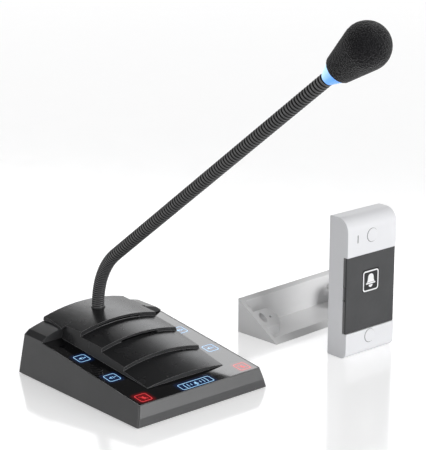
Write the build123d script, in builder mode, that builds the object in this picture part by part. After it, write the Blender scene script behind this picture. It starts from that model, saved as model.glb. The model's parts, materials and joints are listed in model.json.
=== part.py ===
from build123d import *
import math
import os

# Teller window intercom: a desk console with a gooseneck microphone, a customer panel with a call key,
# and the wedge bracket that holds the panel beside the window.
# Millimetres. +Z is up, -Y is the console's front, and the origin is the middle of the console's underside.

# ---- Desk console case ----
console_width = 124.0
console_depth = 147.6
case_wall = 2.4
side_inset = 4.4
front_inset = 3.0
rear_inset = 2.6
front_height = 16.0
crease_height = 7.2
crease_inset = 0.7
glass_slope = 6.94
shoulder_depth = 26.8
shoulder_lip = 1.06
shoulder_shelf_rise = 3.2
shoulder_crown = 7.8
shoulder_corner_run = 4.4
corner_radius = 1.4
ledge_thickness = 1.6
ledge_width = 2.4
case_lift = 0.8
upright_share = 0.9

# ---- Touch glass and what is under it ----
glass_thickness = 1.8
glass_rim = 0.9
glass_gap = 0.15
glass_corner_radius = 1.0
glass_window_side = 3.5
glass_window_front = 6.8
glass_window_rear = 6.0
guide_height = 2.4
touch_board_thickness = 1.2
touch_board_margin = 3.0
guide_margin = 0.8
talk_guide_depth = 6.0
talk_guide_shift = 0.4
key_size = 10.0
talk_key_length = 30.0
talk_key_inset = 9.4
mute_key_inset = 11.8
side_key_inset = 15.4
side_key_pitch = 36.5

# ---- Speaker hood with its stepped tiers and rear deck ----
hood_wall = 1.6
hood_front_inset = 21.0
hood_side_inset = 26.0
hood_draft = 0.286
hood_flare = 0.071
hood_crown_inset = 0.5
hood_crown = 4.4
hood_front_crown = 2.8
hood_front_step = 0.5
tier_four_depth = 27.3
tier_four_rise = 2.49
tier_three_depth = 26.7
tier_three_step = 2.6
tier_three_rise = 4.5
tier_two_depth = 25.6
tier_two_step = 2.8
tier_two_rise = 2.4
deck_step = 3.3
deck_rise = 1.9
deck_gap = 0.15
wing_lead = 1.6
wing_side_inset = 21.2
wing_taper = 4.0
slot_height = 1.2
slot_drop = 2.2
slot_cut_depth = 3.4
front_slot_inset = 18.5
rear_slot_inset = 15.5

# ---- Speaker ----
speaker_rear_gap = 7.5
dust_cloth_thickness = 0.5
speaker_side_gap = 7.5
speaker_flange_width = 4.5
speaker_flange_thickness = 1.2
duct_clearance = 1.0
duct_rim = 2.0
basket_depth = 9.0
basket_taper = 10.0
basket_wall = 0.8
magnet_inset = 1.0
magnet_thickness = 4.5
cone_clearance = 0.5
cone_thickness = 0.6
dust_cap_radius = 7.0
speaker_screw_inset = 1.5
speaker_screw_radius = 0.8
speaker_screw_head_radius = 1.3
speaker_screw_head_height = 0.9
speaker_screw_length = 5.0

# ---- Base ----
pad_thickness = 1.2
pad_margin = 4.6
pad_hole_radius = 3.4
plate_thickness = 2.8
plate_gap = 0.4
ballast_thickness = 3.0
ballast_side_margin = 16.0
ballast_front_margin = 15.8
ballast_rear_margin = 47.8
case_screw_side_inset = 10.0
case_screw_front_inset = 10.8
case_screw_rear_inset = 12.8
case_boss_height = 6.5
boss_web = 2.4
boss_radius = 3.6
screw_shank_radius = 1.2
screw_fit = 0.05
screw_clearance = 0.5
screw_head_radius = 2.8
screw_head_gap = 0.2
screw_head_height = 1.8
case_screw_length = 7.0

# ---- Main board and the sockets in the rear wall ----
board_side_margin = 16.0
board_depth = 27.0
board_thickness = 1.6
board_rear_gap = 4.6
board_height = 10.0
board_screw_inset = 4.0
board_screw_length = 6.0
standoff_radius = 3.0
panel_socket_width = 15.6
panel_socket_height = 13.0
panel_socket_length = 16.0
panel_socket_x = 0.0
panel_socket_mouth_width = 11.6
panel_socket_mouth_height = 8.0
panel_socket_mouth_depth = 12.0
power_jack_inset = 18.0
power_jack_width = 9.0
power_jack_height = 11.0
power_jack_length = 14.0
power_bore_radius = 2.8
power_pin_radius = 1.0
power_bore_depth = 10.0
line_socket_inset = 18.0
line_socket_width = 10.0
line_socket_height = 7.0
line_socket_length = 13.0
line_bore_radius = 1.8
line_bore_depth = 11.5
socket_axis_rise = 5.6
inlet_clearance = 0.4
chip_to_header = 13.0
chip_inset = 5.8
chip_size = 9.0
chip_height = 1.4
capacitor_inset = 7.0
capacitor_radius = 3.2
capacitor_height = 7.0
header_inset = 18.0
header_width = 8.0
header_depth = 4.0
header_height = 5.0

# ---- Gooseneck ----
neck_root_inset = 21.0
neck_radius = 5.0
neck_bore_radius = 1.4
neck_bend_radius = 59.0
neck_lean = 52.96
neck_straight_length = 280.5
first_joint_station = 14.0
second_joint_station = 62.0
joint_pitch = 54.0
joint_count = 6
ball_radius = 3.6
ball_clearance = 0.15
ball_stem_radius = 2.2
ball_reach = 4.6
socket_lip = 1.5
shank_radius = 4.0
shank_length = 14.0
shank_clearance = 0.15
collar_radius = 5.4
collar_height = 1.19
collar_seat_depth = 0.5
washer_radius = 8.5
washer_thickness = 1.0
nut_across_flats = 13.0
nut_thickness = 4.0
neck_pad_radius = 10.0
neck_pad_drop = 1.6
neck_notch_half = 10.0
neck_notch_depth = 7.2

# ---- Microphone head ----
ring_length = 12.0
ring_front_radius = 9.4
ring_hollow_radius = 7.0
ring_hollow_depth = 5.6
led_board_thickness = 1.2
led_board_gap = 0.2
led_circle = 5.0
led_count = 6
led_size = 1.6
led_height = 0.8
stem_radius = 3.2
stem_insert = 6.0
stem_clearance = 0.05
cup_radius = 7.4
cup_length = 22.0
capsule_radius = 4.9
capsule_length = 6.5
capsule_recess = 1.0
foam_base_radius = 10.5
foam_ball_radius = 16.0
foam_neck_length = 29.5
foam_gap = 0.3
foam_bore_spare = 2.0

# ---- Customer panel ----
panel_x = 174.2
panel_front_y = -71.6
panel_width = 53.6
panel_depth = 20.0
panel_height = 114.0
panel_wall = 2.6
panel_top_radius = 11.0
panel_bottom_radius = 5.5
panel_back_radius = 1.0
recess_bottom = 20.6
recess_top = 83.0
recess_wall = 1.8
seal_thickness = 2.4
seal_width = 4.0
seal_side_inset = 0.4
seal_outlet_z = 53.0
seal_outlet_height = 11.0
face_plate_thickness = 1.3
face_plate_sink = 0.7
face_plate_gap = 0.35
call_key_size = 18.0
call_key_height = 60.2
call_key_radius = 2.0
call_key_gap = 0.3
call_key_thickness = 1.3
call_key_flange = 1.4
call_key_flange_thickness = 0.8
call_key_travel = 0.6
switch_size = 6.0
switch_clearance = 0.1
plug_radius = 5.3
plug_thickness = 1.6
plug_gap = 0.08
fixing_low_height = 14.4
fixing_spacing = 83.0
fixing_hole_radius = 1.8
fixing_head_radius = 3.6
fixing_boss_radius = 7.2
fixing_floor = 3.0
microphone_slot_x = -15.8
microphone_slot_height = 96.6
microphone_slot_length = 6.5
microphone_slot_width = 0.8
panel_capsule_radius = 3.0
panel_capsule_length = 2.7
boot_radius = 4.6
boot_length = 4.2
boot_clearance = 0.05
boot_rim = 1.0
boot_rim_height = 2.0
back_plate_thickness = 1.6
back_plate_rebate = 1.2
back_plate_gap = 0.2
back_screw_x = 20.5
back_screw_spacing = 95.0
back_boss_radius = 2.8
back_screw_radius = 1.0
back_screw_head_radius = 1.9
back_screw_head_height = 0.9
back_screw_length = 6.0
cable_hole_radius = 4.0
panel_board_width = 44.0
panel_board_bottom = 24.0
panel_board_top = 80.0
panel_board_thickness = 1.2
panel_window_half = 19.0
panel_window_bottom = 26.0
panel_window_top = 72.0
panel_speaker_radius = 14.0
panel_speaker_height = 41.0
panel_speaker_depth = 3.6
panel_mouth_radius = 12.5
panel_cone_rise = 2.0
panel_magnet_radius = 7.0
panel_magnet_thickness = 2.4
terminal_width = 15.0
terminal_depth = 6.0
terminal_height = 7.0
terminal_z = 70.0
terminal_ways = 4
terminal_pitch = 3.5
terminal_hole_radius = 1.0
terminal_hole_depth = 4.0

# ---- Wedge bracket ----
bracket_x = 185.7
bracket_y = 13.8
bracket_yaw = 3.3
bracket_length = 114.0
bracket_depth = 43.9
bracket_height = 28.8
bracket_floor = 2.2
bracket_lip_height = 3.8
bracket_back_wall = 3.6
bracket_end_wall = 3.5
tongue_middle_x = 41.2
tongue_radius = 7.5
tongue_offset = 0.5
wall_screw_x = 48.9
wall_screw_height = 15.4
wall_screw_head_radius = 2.9
wall_screw_radius = 1.9
wall_screw_seat = 3.0
panel_thread_radius = 1.25
panel_thread_depth = 9.0
thread_relief_radius = 1.6

os.makedirs("parts", exist_ok=True)


def save(part, name):
    """Labels a finished piece and writes it to parts."""
    part.label = name
    export_step(part, f"parts/{name}.step")


def across(y):
    """Upright plane facing the front at depth y, with its sketch X along +X and its sketch Y along +Z."""
    return Plane.XZ.offset(-y)


# ---- Places that several pieces share ----
front_y = -console_depth / 2
rear_y = console_depth / 2
front_top_y = front_y + front_inset
rear_top_y = rear_y - rear_inset
slope_rate = math.tan(math.radians(glass_slope))
slope_stretch = math.cos(math.radians(glass_slope))
glass_plane = Plane(
    origin=(0, front_top_y, front_height),
    x_dir=(1, 0, 0),
    z_dir=(0, -math.sin(math.radians(glass_slope)), slope_stretch),
)


def glass_height(y):
    """Height of the glass's top face at depth y."""
    return front_height + (y - front_top_y) * slope_rate


def along_glass(y):
    """Distance up the glass's slope from its front edge to depth y."""
    return (y - front_top_y) / slope_stretch


def arch_height(x, half, side, crown):
    """Height at x of an arc that rises from side at half by crown to its middle."""
    radius = (half**2 + crown**2) / (2 * crown)
    return side + crown - radius + math.sqrt(radius**2 - x**2)


half_width = console_width / 2
shoulder_front_y = rear_y - shoulder_depth
shoulder_side_height = glass_height(shoulder_front_y) + shoulder_lip
shoulder_shelf_height = shoulder_side_height + shoulder_shelf_rise
shoulder_crest_height = shoulder_shelf_height + shoulder_crown
shoulder_half = half_width - side_inset * shoulder_side_height / glass_height(shoulder_front_y)
shelf_half = shoulder_half - shoulder_corner_run
hood_front_y = front_y + hood_front_inset
hood_front_half = half_width - hood_side_inset
tier_three_front_y = hood_front_y + tier_four_depth
tier_two_front_y = tier_three_front_y + tier_three_depth
deck_front_y = tier_two_front_y + tier_two_depth
tier_four_rear_height = glass_height(tier_three_front_y) + tier_four_rise
tier_three_front_height = tier_four_rear_height + tier_three_step
tier_three_rear_height = tier_three_front_height + tier_three_rise
tier_two_front_height = tier_three_rear_height + tier_two_step
tier_two_rear_height = tier_two_front_height + tier_two_rise
deck_front_height = tier_two_rear_height + deck_step
deck_rear_height = deck_front_height + deck_rise
neck_root_y = rear_y - neck_root_inset


def console_form(inset, roof):
    """The case's outer form, drawn in by inset at every wall and lowered by roof under the glass."""
    top_half = half_width - side_inset - inset
    bottom_half = half_width - inset
    with BuildPart() as form:
        for y in (front_y, shoulder_front_y + inset):
            top = glass_height(y) - roof
            with BuildSketch(across(y)):
                with BuildLine():
                    Polyline(
                        (-bottom_half, 0),
                        (bottom_half, 0),
                        (top_half, top),
                        (-top_half, top),
                        close=True,
                    )
                make_face()
        loft(ruled=True)
        side_height = shoulder_side_height - inset
        shelf_height = shoulder_shelf_height - inset
        side_half = shoulder_half - inset
        arch_half = shelf_half - inset
        with BuildSketch(across(shoulder_front_y + inset)):
            with BuildLine():
                Polyline((bottom_half, 0), (side_half, side_height), (arch_half, shelf_height))
                ThreePointArc(
                    (arch_half, shelf_height),
                    (0, shoulder_crest_height - inset),
                    (-arch_half, shelf_height),
                )
                Polyline(
                    (-arch_half, shelf_height),
                    (-side_half, side_height),
                    (-bottom_half, 0),
                    (bottom_half, 0),
                )
            make_face()
        extrude(amount=-console_depth)
        with BuildSketch(Plane.YZ):
            with BuildLine():
                Polyline(
                    (front_y + inset, 0),
                    (front_y + crease_inset + inset, crease_height),
                    (front_top_y + inset, front_height),
                    (front_top_y + inset, console_depth),
                    (rear_top_y - inset, console_depth),
                    (rear_top_y - inset, shoulder_side_height),
                    (rear_y - inset, 0),
                    close=True,
                )
            make_face()
        extrude(amount=console_width, both=True, mode=Mode.INTERSECT)
    return form.part


case_outer = console_form(0, 0)
case_inner = console_form(case_wall, glass_thickness + ledge_thickness)


def slope_rectangle(half, low, high):
    """Draws a rectangle on the glass's slope in the active sketch, from low to high up the slope."""
    with Locations((0, (low + high) / 2)):
        Rectangle(2 * half, high - low)


# ---- Console case ----
glass_half = half_width - side_inset - glass_rim
pocket_end = along_glass(shoulder_front_y)
plate_top = pad_thickness + plate_thickness
board_top = board_height + board_thickness
board_rear_y = rear_y - board_rear_gap
board_middle_y = board_rear_y - board_depth / 2
board_half = half_width - board_side_margin
power_jack_x = power_jack_inset - board_half
line_socket_x = board_half - line_socket_inset
board_screw_x = board_half - board_screw_inset
board_screw_places = [
    (side * board_screw_x, board_middle_y + end * (board_depth / 2 - board_screw_inset))
    for side in (-1, 1)
    for end in (-1, 1)
]
screw_hole_radius = screw_shank_radius + screw_fit
screw_clearance_radius = screw_shank_radius + screw_clearance
socket_face_y = rear_top_y
jack_axis_height = board_top + socket_axis_rise
line_axis_height = board_top + line_socket_height / 2
socket_axis_height = board_top + panel_socket_height / 2
case_screw_places = [
    (side * (half_width - case_screw_side_inset), y)
    for side in (-1, 1)
    for y in (front_y + case_screw_front_inset, rear_y - case_screw_rear_inset)
]
neck_pad_bottom = shoulder_crest_height - case_wall - neck_pad_drop

with BuildPart() as case_bosses:
    with BuildSketch(Plane.XY.offset(plate_top)):
        with Locations(*case_screw_places):
            Circle(boss_radius)
        for place_x, place_y in case_screw_places:
            side = math.copysign(1, place_x)
            with Locations((place_x + side * boss_radius, place_y)):
                Rectangle(2 * boss_radius, boss_web)
    extrude(amount=case_boss_height)
    add(case_outer, mode=Mode.INTERSECT)

with BuildPart() as neck_pad:
    with BuildSketch(Plane.XY.offset(neck_pad_bottom)):
        with Locations((0, neck_root_y)):
            Circle(neck_pad_radius)
    extrude(amount=neck_pad_drop + case_wall / 2)
    add(case_outer, mode=Mode.INTERSECT)

with BuildPart() as upper_shell:
    add(case_outer)
    uprights = upper_shell.edges().filter_by(lambda edge: abs(edge.tangent_at(0.5).Z) > upright_share)
    front_corners = uprights.filter_by(lambda edge: edge.center().Y < -shoulder_front_y)
    raised_edges = upper_shell.edges().filter_by(lambda edge: edge.center().Z > case_lift)
    rear_corners = raised_edges.filter_by(lambda edge: edge.center().Y > rear_top_y - case_lift)
    fillet(front_corners + rear_corners, corner_radius)
    add(case_inner, mode=Mode.SUBTRACT)
    with BuildSketch(glass_plane):
        slope_rectangle(glass_half, glass_rim, pocket_end)
    extrude(amount=-glass_thickness, mode=Mode.SUBTRACT)
    with BuildSketch(glass_plane):
        slope_rectangle(glass_half - ledge_width, glass_rim + ledge_width, pocket_end - ledge_width)
    extrude(amount=-2 * (glass_thickness + ledge_thickness), mode=Mode.SUBTRACT)
    with BuildSketch(Plane.XY):
        Rectangle(2 * console_width, 2 * console_depth)
    extrude(amount=case_lift, mode=Mode.SUBTRACT)
    add(neck_pad.part)
    with BuildSketch(Plane.XY.offset(neck_pad_bottom)):
        with Locations((0, neck_root_y)):
            Circle(shank_radius + shank_clearance)
    extrude(amount=shank_length, mode=Mode.SUBTRACT)
    with BuildSketch(across(shoulder_front_y + case_wall)):
        with Locations((0, neck_pad_bottom - neck_notch_depth / 2)):
            Rectangle(2 * neck_notch_half, neck_notch_depth)
    extrude(amount=2 * case_wall, mode=Mode.SUBTRACT)
    add(case_bosses.part)
    with BuildSketch(Plane.XY.offset(plate_top)):
        with Locations(*case_screw_places):
            Circle(screw_hole_radius)
    extrude(amount=case_boss_height, mode=Mode.SUBTRACT)
    with BuildSketch(across(rear_y)):
        with Locations((panel_socket_x, socket_axis_height)):
            Rectangle(panel_socket_width + 2 * inlet_clearance, panel_socket_height + 2 * inlet_clearance)
        with Locations((power_jack_x, board_top + power_jack_height / 2)):
            Rectangle(power_jack_width + 2 * inlet_clearance, power_jack_height + 2 * inlet_clearance)
        with Locations((line_socket_x, line_axis_height)):
            Rectangle(line_socket_width + 2 * inlet_clearance, line_socket_height + 2 * inlet_clearance)
    extrude(amount=2 * case_wall + rear_inset, mode=Mode.SUBTRACT)
save(upper_shell.part, "upper_shell")

# ---- Touch glass, its light guides and its board ----
glass_window_half = hood_front_half - glass_window_side
window_low = along_glass(hood_front_y + glass_window_front)
window_high = along_glass(shoulder_front_y - glass_window_rear)
glass_low = glass_rim + glass_gap
glass_high = pocket_end - glass_gap
with BuildPart() as touch_glass:
    with BuildSketch(glass_plane):
        slope_rectangle(glass_half - glass_gap, glass_low, glass_high)
        with Locations((0, (window_low + window_high) / 2)):
            Rectangle(2 * glass_window_half, window_high - window_low, mode=Mode.SUBTRACT)
    extrude(amount=-glass_thickness)
    upright_edges = touch_glass.edges().filter_by(
        lambda edge: abs(edge.length - glass_thickness) < glass_gap
    )
    fillet(upright_edges, glass_corner_radius)
save(touch_glass.part, "touch_glass")

mute_key_y = front_y + mute_key_inset
side_key_x = half_width - side_key_inset
key_places = [
    (side * side_key_x, along_glass(y))
    for side in (-1, 1)
    for y in (mute_key_y, mute_key_y + side_key_pitch, mute_key_y + 2 * side_key_pitch)
]
with BuildPart() as light_guides:
    with BuildSketch(glass_plane.offset(-glass_thickness)):
        with Locations(*key_places):
            Rectangle(key_size - 2 * guide_margin, key_size - 2 * guide_margin)
        with Locations((0, along_glass(front_y + talk_key_inset) + talk_guide_shift)):
            Rectangle(talk_key_length, talk_guide_depth)
    extrude(amount=-guide_height)
save(light_guides.part, "light_guides")

board_edge = glass_rim + touch_board_margin
with BuildPart() as touch_board:
    with BuildSketch(glass_plane.offset(-glass_thickness - guide_height)):
        slope_rectangle(glass_half - touch_board_margin, board_edge, pocket_end - touch_board_margin)
        with Locations((0, (window_low + window_high) / 2)):
            Rectangle(2 * glass_window_half, window_high - window_low, mode=Mode.SUBTRACT)
    extrude(amount=-touch_board_thickness)
save(touch_board.part, "touch_board")

# ---- Speaker hood ----
hood_front_height = glass_height(hood_front_y) + hood_front_step
tiers = (
    (hood_front_y, tier_three_front_y, hood_front_height, tier_four_rear_height, hood_front_crown),
    (tier_three_front_y, tier_two_front_y, tier_three_front_height, tier_three_rear_height, hood_crown),
    (tier_two_front_y, deck_front_y, tier_two_front_height, tier_two_rear_height, hood_crown),
    (deck_front_y, rear_top_y, deck_front_height, deck_rear_height, hood_crown),
)
hood_crown_half = hood_front_half - hood_crown_inset


def hood_half(y, height):
    """Half-width of the hood's drafted sides at depth y and the given height."""
    return hood_front_half + hood_flare * (y - hood_front_y) - hood_draft * (height - hood_front_height)


def crowned_section(y, side, crown, low):
    """An upright section at depth y with a crowned top and a flat bottom at low."""
    edge_height = arch_height(half_width, hood_crown_half, side, crown)
    with BuildSketch(across(y)) as section:
        with BuildLine():
            ThreePointArc((-half_width, edge_height), (0, side + crown), (half_width, edge_height))
            Polyline(
                (half_width, edge_height),
                (half_width, low),
                (-half_width, low),
                (-half_width, edge_height),
            )
        make_face()
    return section.sketch


def hood_form(inset):
    """The hood's stepped outer form, drawn in by inset at the sides, the risers and the tops."""
    with BuildPart() as steps:
        for low_y, high_y, low_side, high_side, low_crown in tiers:
            front = crowned_section(low_y + inset, low_side - inset, low_crown, -console_width)
            rear = crowned_section(high_y + inset, high_side - inset, hood_crown, -console_width)
            loft(sections=[front, rear], ruled=True)
    with BuildPart() as form:
        for y in (hood_front_y + inset, rear_top_y + inset):
            with BuildSketch(across(y)):
                with BuildLine():
                    Polyline(
                        (-hood_half(y, 0) + inset, 0),
                        (hood_half(y, 0) - inset, 0),
                        (hood_half(y, half_width) - inset, half_width),
                        (-hood_half(y, half_width) + inset, half_width),
                        close=True,
                    )
                make_face()
        loft(ruled=True)
        add(steps.part, mode=Mode.INTERSECT)
    return form.part


def sound_slot(riser_y, side, half):
    """A crowned slot through the riser at riser_y, under a top whose sides stand at side."""
    top = side - slot_drop + slot_height / 2
    bottom = top - slot_height
    top_end = arch_height(half, hood_crown_half, top, hood_crown)
    bottom_end = top_end - slot_height
    with BuildPart() as slot:
        with BuildSketch(across(riser_y - slot_height)):
            with BuildLine():
                ThreePointArc((-half, top_end), (0, top + hood_crown), (half, top_end))
                Line((half, top_end), (half, bottom_end))
                ThreePointArc((half, bottom_end), (0, bottom + hood_crown), (-half, bottom_end))
                Line((-half, bottom_end), (-half, top_end))
            make_face()
        extrude(amount=-(slot_height + slot_cut_depth))
    return slot.part


def shoulder_block(start_y):
    """All that lies under the case's shoulder top and the deck's gap, from start_y rearward."""
    with BuildPart() as block:
        with BuildSketch(across(start_y)):
            with BuildLine():
                ThreePointArc(
                    (-shelf_half, shoulder_shelf_height + deck_gap),
                    (0, shoulder_crest_height + deck_gap),
                    (shelf_half, shoulder_shelf_height + deck_gap),
                )
                Polyline(
                    (shelf_half, shoulder_shelf_height + deck_gap),
                    (shelf_half, -console_depth),
                    (-shelf_half, -console_depth),
                    (-shelf_half, shoulder_shelf_height + deck_gap),
                )
            make_face()
        extrude(amount=-console_depth)
    return block.part


speaker_flange_radius = hood_front_half - speaker_side_gap
speaker_y = shoulder_front_y - speaker_rear_gap - speaker_flange_radius
speaker_plane = Plane(
    origin=glass_plane.from_local_coords(Vector(0, along_glass(speaker_y), 0)),
    x_dir=(1, 0, 0),
    z_dir=glass_plane.z_dir,
)
speaker_mouth_radius = speaker_flange_radius - speaker_flange_width
duct_inner_radius = speaker_mouth_radius + duct_clearance
duct_outer_radius = speaker_flange_radius + duct_rim
speaker_screw_places = PolarLocations(speaker_flange_radius - speaker_screw_inset, 4, start_angle=45)
wing_front_y = shoulder_front_y - wing_lead
wing_front_half = half_width - wing_side_inset
wing_rear_half = wing_front_half - wing_taper
front_slot_half = hood_front_half - front_slot_inset
rear_slot_half = hood_front_half - rear_slot_inset

with BuildPart() as rear_deck:
    with BuildSketch(Plane.XY):
        with BuildLine():
            Polyline(
                (-wing_front_half, wing_front_y),
                (wing_front_half, wing_front_y),
                (wing_rear_half, rear_top_y),
                (-wing_rear_half, rear_top_y),
                close=True,
            )
        make_face()
    extrude(amount=console_width)
    deck_front = crowned_section(deck_front_y, deck_front_height, hood_crown, 0)
    deck_rear = crowned_section(rear_top_y, deck_rear_height, hood_crown, 0)
    loft(sections=[deck_front, deck_rear], ruled=True, mode=Mode.INTERSECT)
    add(shoulder_block(deck_front_y), mode=Mode.SUBTRACT)

with BuildPart() as sound_duct:
    with BuildSketch(speaker_plane):
        Circle(duct_outer_radius)
        Circle(duct_inner_radius, mode=Mode.SUBTRACT)
    extrude(amount=deck_front_height)
    add(hood_form(hood_wall / 2), mode=Mode.INTERSECT)

with BuildPart() as under_hood:
    with BuildSketch(glass_plane):
        slope_rectangle(console_width, -console_depth, pocket_end)
    extrude(amount=-console_depth)
    add(shoulder_block(shoulder_front_y - deck_gap))

neck_seat_height = deck_front_height + hood_crown + (deck_rear_height - deck_front_height) * (
    neck_root_y - deck_front_y
) / (rear_top_y - deck_front_y) - collar_seat_depth

with BuildPart() as speaker_hood:
    add(hood_form(0))
    add(rear_deck.part)
    add(hood_form(hood_wall), mode=Mode.SUBTRACT)
    add(rear_deck.part)
    add(sound_duct.part)
    add(sound_slot(deck_front_y, deck_front_height, rear_slot_half), mode=Mode.SUBTRACT)
    add(sound_slot(tier_two_front_y, tier_two_front_height, front_slot_half), mode=Mode.SUBTRACT)
    add(under_hood.part, mode=Mode.SUBTRACT)
    with BuildSketch(speaker_plane):
        with speaker_screw_places:
            Circle(speaker_screw_radius + screw_fit)
    extrude(amount=speaker_screw_length, mode=Mode.SUBTRACT)
    with BuildSketch(Plane.XY.offset(neck_seat_height)):
        with Locations((0, neck_root_y)):
            Circle(collar_radius + shank_clearance)
    extrude(amount=hood_crown, mode=Mode.SUBTRACT)
    with BuildSketch(Plane.XY.offset(neck_pad_bottom)):
        with Locations((0, neck_root_y)):
            Circle(shank_radius + shank_clearance)
    extrude(amount=shank_length, mode=Mode.SUBTRACT)
save(speaker_hood.part, "speaker_hood")

# ---- Speaker: dust cloth, basket, cone, magnet and screws, all under the hood's duct ----
basket_floor_radius = speaker_mouth_radius - basket_taper
basket_top = -dust_cloth_thickness
basket_bottom = basket_top - basket_depth
basket_floor_top = basket_bottom + basket_wall
duct_plane = Plane(origin=speaker_plane.origin, x_dir=(1, 0, 0), z_dir=-speaker_plane.y_dir)

with BuildPart() as dust_cloth:
    with BuildSketch(speaker_plane):
        Circle(speaker_flange_radius)
        with speaker_screw_places:
            Circle(speaker_screw_radius + screw_fit, mode=Mode.SUBTRACT)
    extrude(amount=-dust_cloth_thickness)
save(dust_cloth.part, "dust_cloth")

with BuildPart() as speaker_basket:
    with BuildSketch(duct_plane):
        with BuildLine():
            Polyline(
                (0, basket_bottom),
                (basket_floor_radius, basket_bottom),
                (speaker_mouth_radius + basket_wall, basket_top - speaker_flange_thickness),
                (speaker_flange_radius, basket_top - speaker_flange_thickness),
                (speaker_flange_radius, basket_top),
                (speaker_mouth_radius, basket_top),
                (speaker_mouth_radius, basket_top - speaker_flange_thickness),
                (basket_floor_radius - basket_wall, basket_floor_top),
                (0, basket_floor_top),
                close=True,
            )
        make_face()
    revolve(axis=Axis(duct_plane.origin, speaker_plane.z_dir))
    with BuildSketch(speaker_plane):
        with speaker_screw_places:
            Circle(speaker_screw_radius + screw_fit)
    extrude(amount=-basket_depth, mode=Mode.SUBTRACT)
save(speaker_basket.part, "speaker_basket")

cone_rim_radius = speaker_mouth_radius - cone_clearance
cone_rim_height = basket_top - speaker_flange_thickness
with BuildPart() as speaker_cone:
    with BuildSketch(duct_plane):
        with BuildLine():
            Polyline(
                (0, basket_floor_top + cone_thickness),
                (0, basket_floor_top),
                (dust_cap_radius, basket_floor_top),
                (cone_rim_radius, cone_rim_height),
                (cone_rim_radius, cone_rim_height + cone_thickness),
                (dust_cap_radius, basket_floor_top + cone_thickness),
                close=True,
            )
        make_face()
    revolve(axis=Axis(duct_plane.origin, speaker_plane.z_dir))
save(speaker_cone.part, "speaker_cone")

with BuildPart() as speaker_magnet:
    with BuildSketch(speaker_plane.offset(basket_bottom)):
        Circle(basket_floor_radius - magnet_inset)
    extrude(amount=-magnet_thickness)
save(speaker_magnet.part, "speaker_magnet")

with BuildPart() as speaker_screws:
    with BuildSketch(speaker_plane.offset(cone_rim_height - speaker_screw_head_height)):
        with speaker_screw_places:
            Circle(speaker_screw_head_radius)
    extrude(amount=speaker_screw_head_height)
    with BuildSketch(speaker_plane.offset(cone_rim_height)):
        with speaker_screw_places:
            Circle(speaker_screw_radius)
    extrude(amount=speaker_screw_length)
save(speaker_screws.part, "speaker_screws")

# ---- Base: rubber pad, base plate with the board's standoffs, ballast and case screws ----
with BuildPart() as base_pad:
    add(console_form(pad_margin, glass_thickness))
    with BuildSketch(Plane.XY.offset(pad_thickness)):
        Rectangle(2 * console_width, 2 * console_depth)
    extrude(amount=console_depth, mode=Mode.SUBTRACT)
    with BuildSketch(Plane.XY):
        with Locations(*case_screw_places):
            Circle(pad_hole_radius)
    extrude(amount=pad_thickness, mode=Mode.SUBTRACT)
save(base_pad.part, "base_pad")

with BuildPart() as base_plate:
    add(console_form(case_wall + plate_gap, glass_thickness))
    with BuildSketch(Plane.XY.offset(plate_top)):
        Rectangle(2 * console_width, 2 * console_depth)
    extrude(amount=console_depth, mode=Mode.SUBTRACT)
    with BuildSketch(Plane.XY):
        Rectangle(2 * console_width, 2 * console_depth)
    extrude(amount=pad_thickness, mode=Mode.SUBTRACT)
    with BuildSketch(Plane.XY.offset(plate_top)):
        with Locations(*board_screw_places):
            Circle(standoff_radius)
            Circle(screw_hole_radius, mode=Mode.SUBTRACT)
    extrude(amount=board_height - plate_top)
    with BuildSketch(Plane.XY):
        with Locations(*case_screw_places):
            Circle(screw_clearance_radius)
    extrude(amount=plate_top, mode=Mode.SUBTRACT)
    with BuildSketch(Plane.XY.offset(pad_thickness)):
        with Locations(*case_screw_places):
            Circle(screw_head_radius + screw_head_gap)
    extrude(amount=screw_head_height, mode=Mode.SUBTRACT)
save(base_plate.part, "base_plate")

with BuildPart() as ballast_plate:
    with BuildSketch(Plane.XY.offset(plate_top)):
        with Locations((0, (ballast_front_margin - ballast_rear_margin) / 2)):
            Rectangle(
                console_width - 2 * ballast_side_margin,
                console_depth - ballast_front_margin - ballast_rear_margin,
            )
    extrude(amount=ballast_thickness)
save(ballast_plate.part, "ballast_plate")

with BuildPart() as case_screws:
    with BuildSketch(Plane.XY.offset(pad_thickness)):
        with Locations(*case_screw_places):
            Circle(screw_head_radius)
    extrude(amount=screw_head_height)
    with BuildSketch(Plane.XY.offset(pad_thickness + screw_head_height)):
        with Locations(*case_screw_places):
            Circle(screw_shank_radius)
    extrude(amount=case_screw_length)
save(case_screws.part, "case_screws")

# ---- Main board, the parts on it and its screws ----
with BuildPart() as main_board:
    with BuildSketch(Plane.XY.offset(board_height)):
        with Locations((0, board_middle_y)):
            Rectangle(2 * board_half, board_depth)
        with Locations(*board_screw_places):
            Circle(screw_clearance_radius, mode=Mode.SUBTRACT)
    extrude(amount=board_thickness)
save(main_board.part, "main_board")

chip_y = board_rear_y - board_depth + chip_inset
header_x = board_half - header_inset
chip_x = header_x - chip_to_header
capacitor_x = board_half - capacitor_inset
with BuildPart() as board_parts:
    with BuildSketch(Plane.XY.offset(board_top)):
        with Locations((-chip_x, chip_y), (chip_x, chip_y)):
            Rectangle(chip_size, chip_size)
    extrude(amount=chip_height)
    with BuildSketch(Plane.XY.offset(board_top)):
        with Locations((-capacitor_x, board_middle_y), (capacitor_x, board_middle_y)):
            Circle(capacitor_radius)
    extrude(amount=capacitor_height)
    with BuildSketch(Plane.XY.offset(board_top)):
        with Locations((-header_x, chip_y), (header_x, chip_y)):
            Rectangle(header_width, header_depth)
    extrude(amount=header_height)
save(board_parts.part, "board_parts")

with BuildPart() as board_screws:
    with BuildSketch(Plane.XY.offset(board_top)):
        with Locations(*board_screw_places):
            Circle(screw_head_radius)
    extrude(amount=screw_head_height)
    with BuildSketch(Plane.XY.offset(board_top)):
        with Locations(*board_screw_places):
            Circle(screw_shank_radius)
    extrude(amount=-board_screw_length)
save(board_screws.part, "board_screws")

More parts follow.
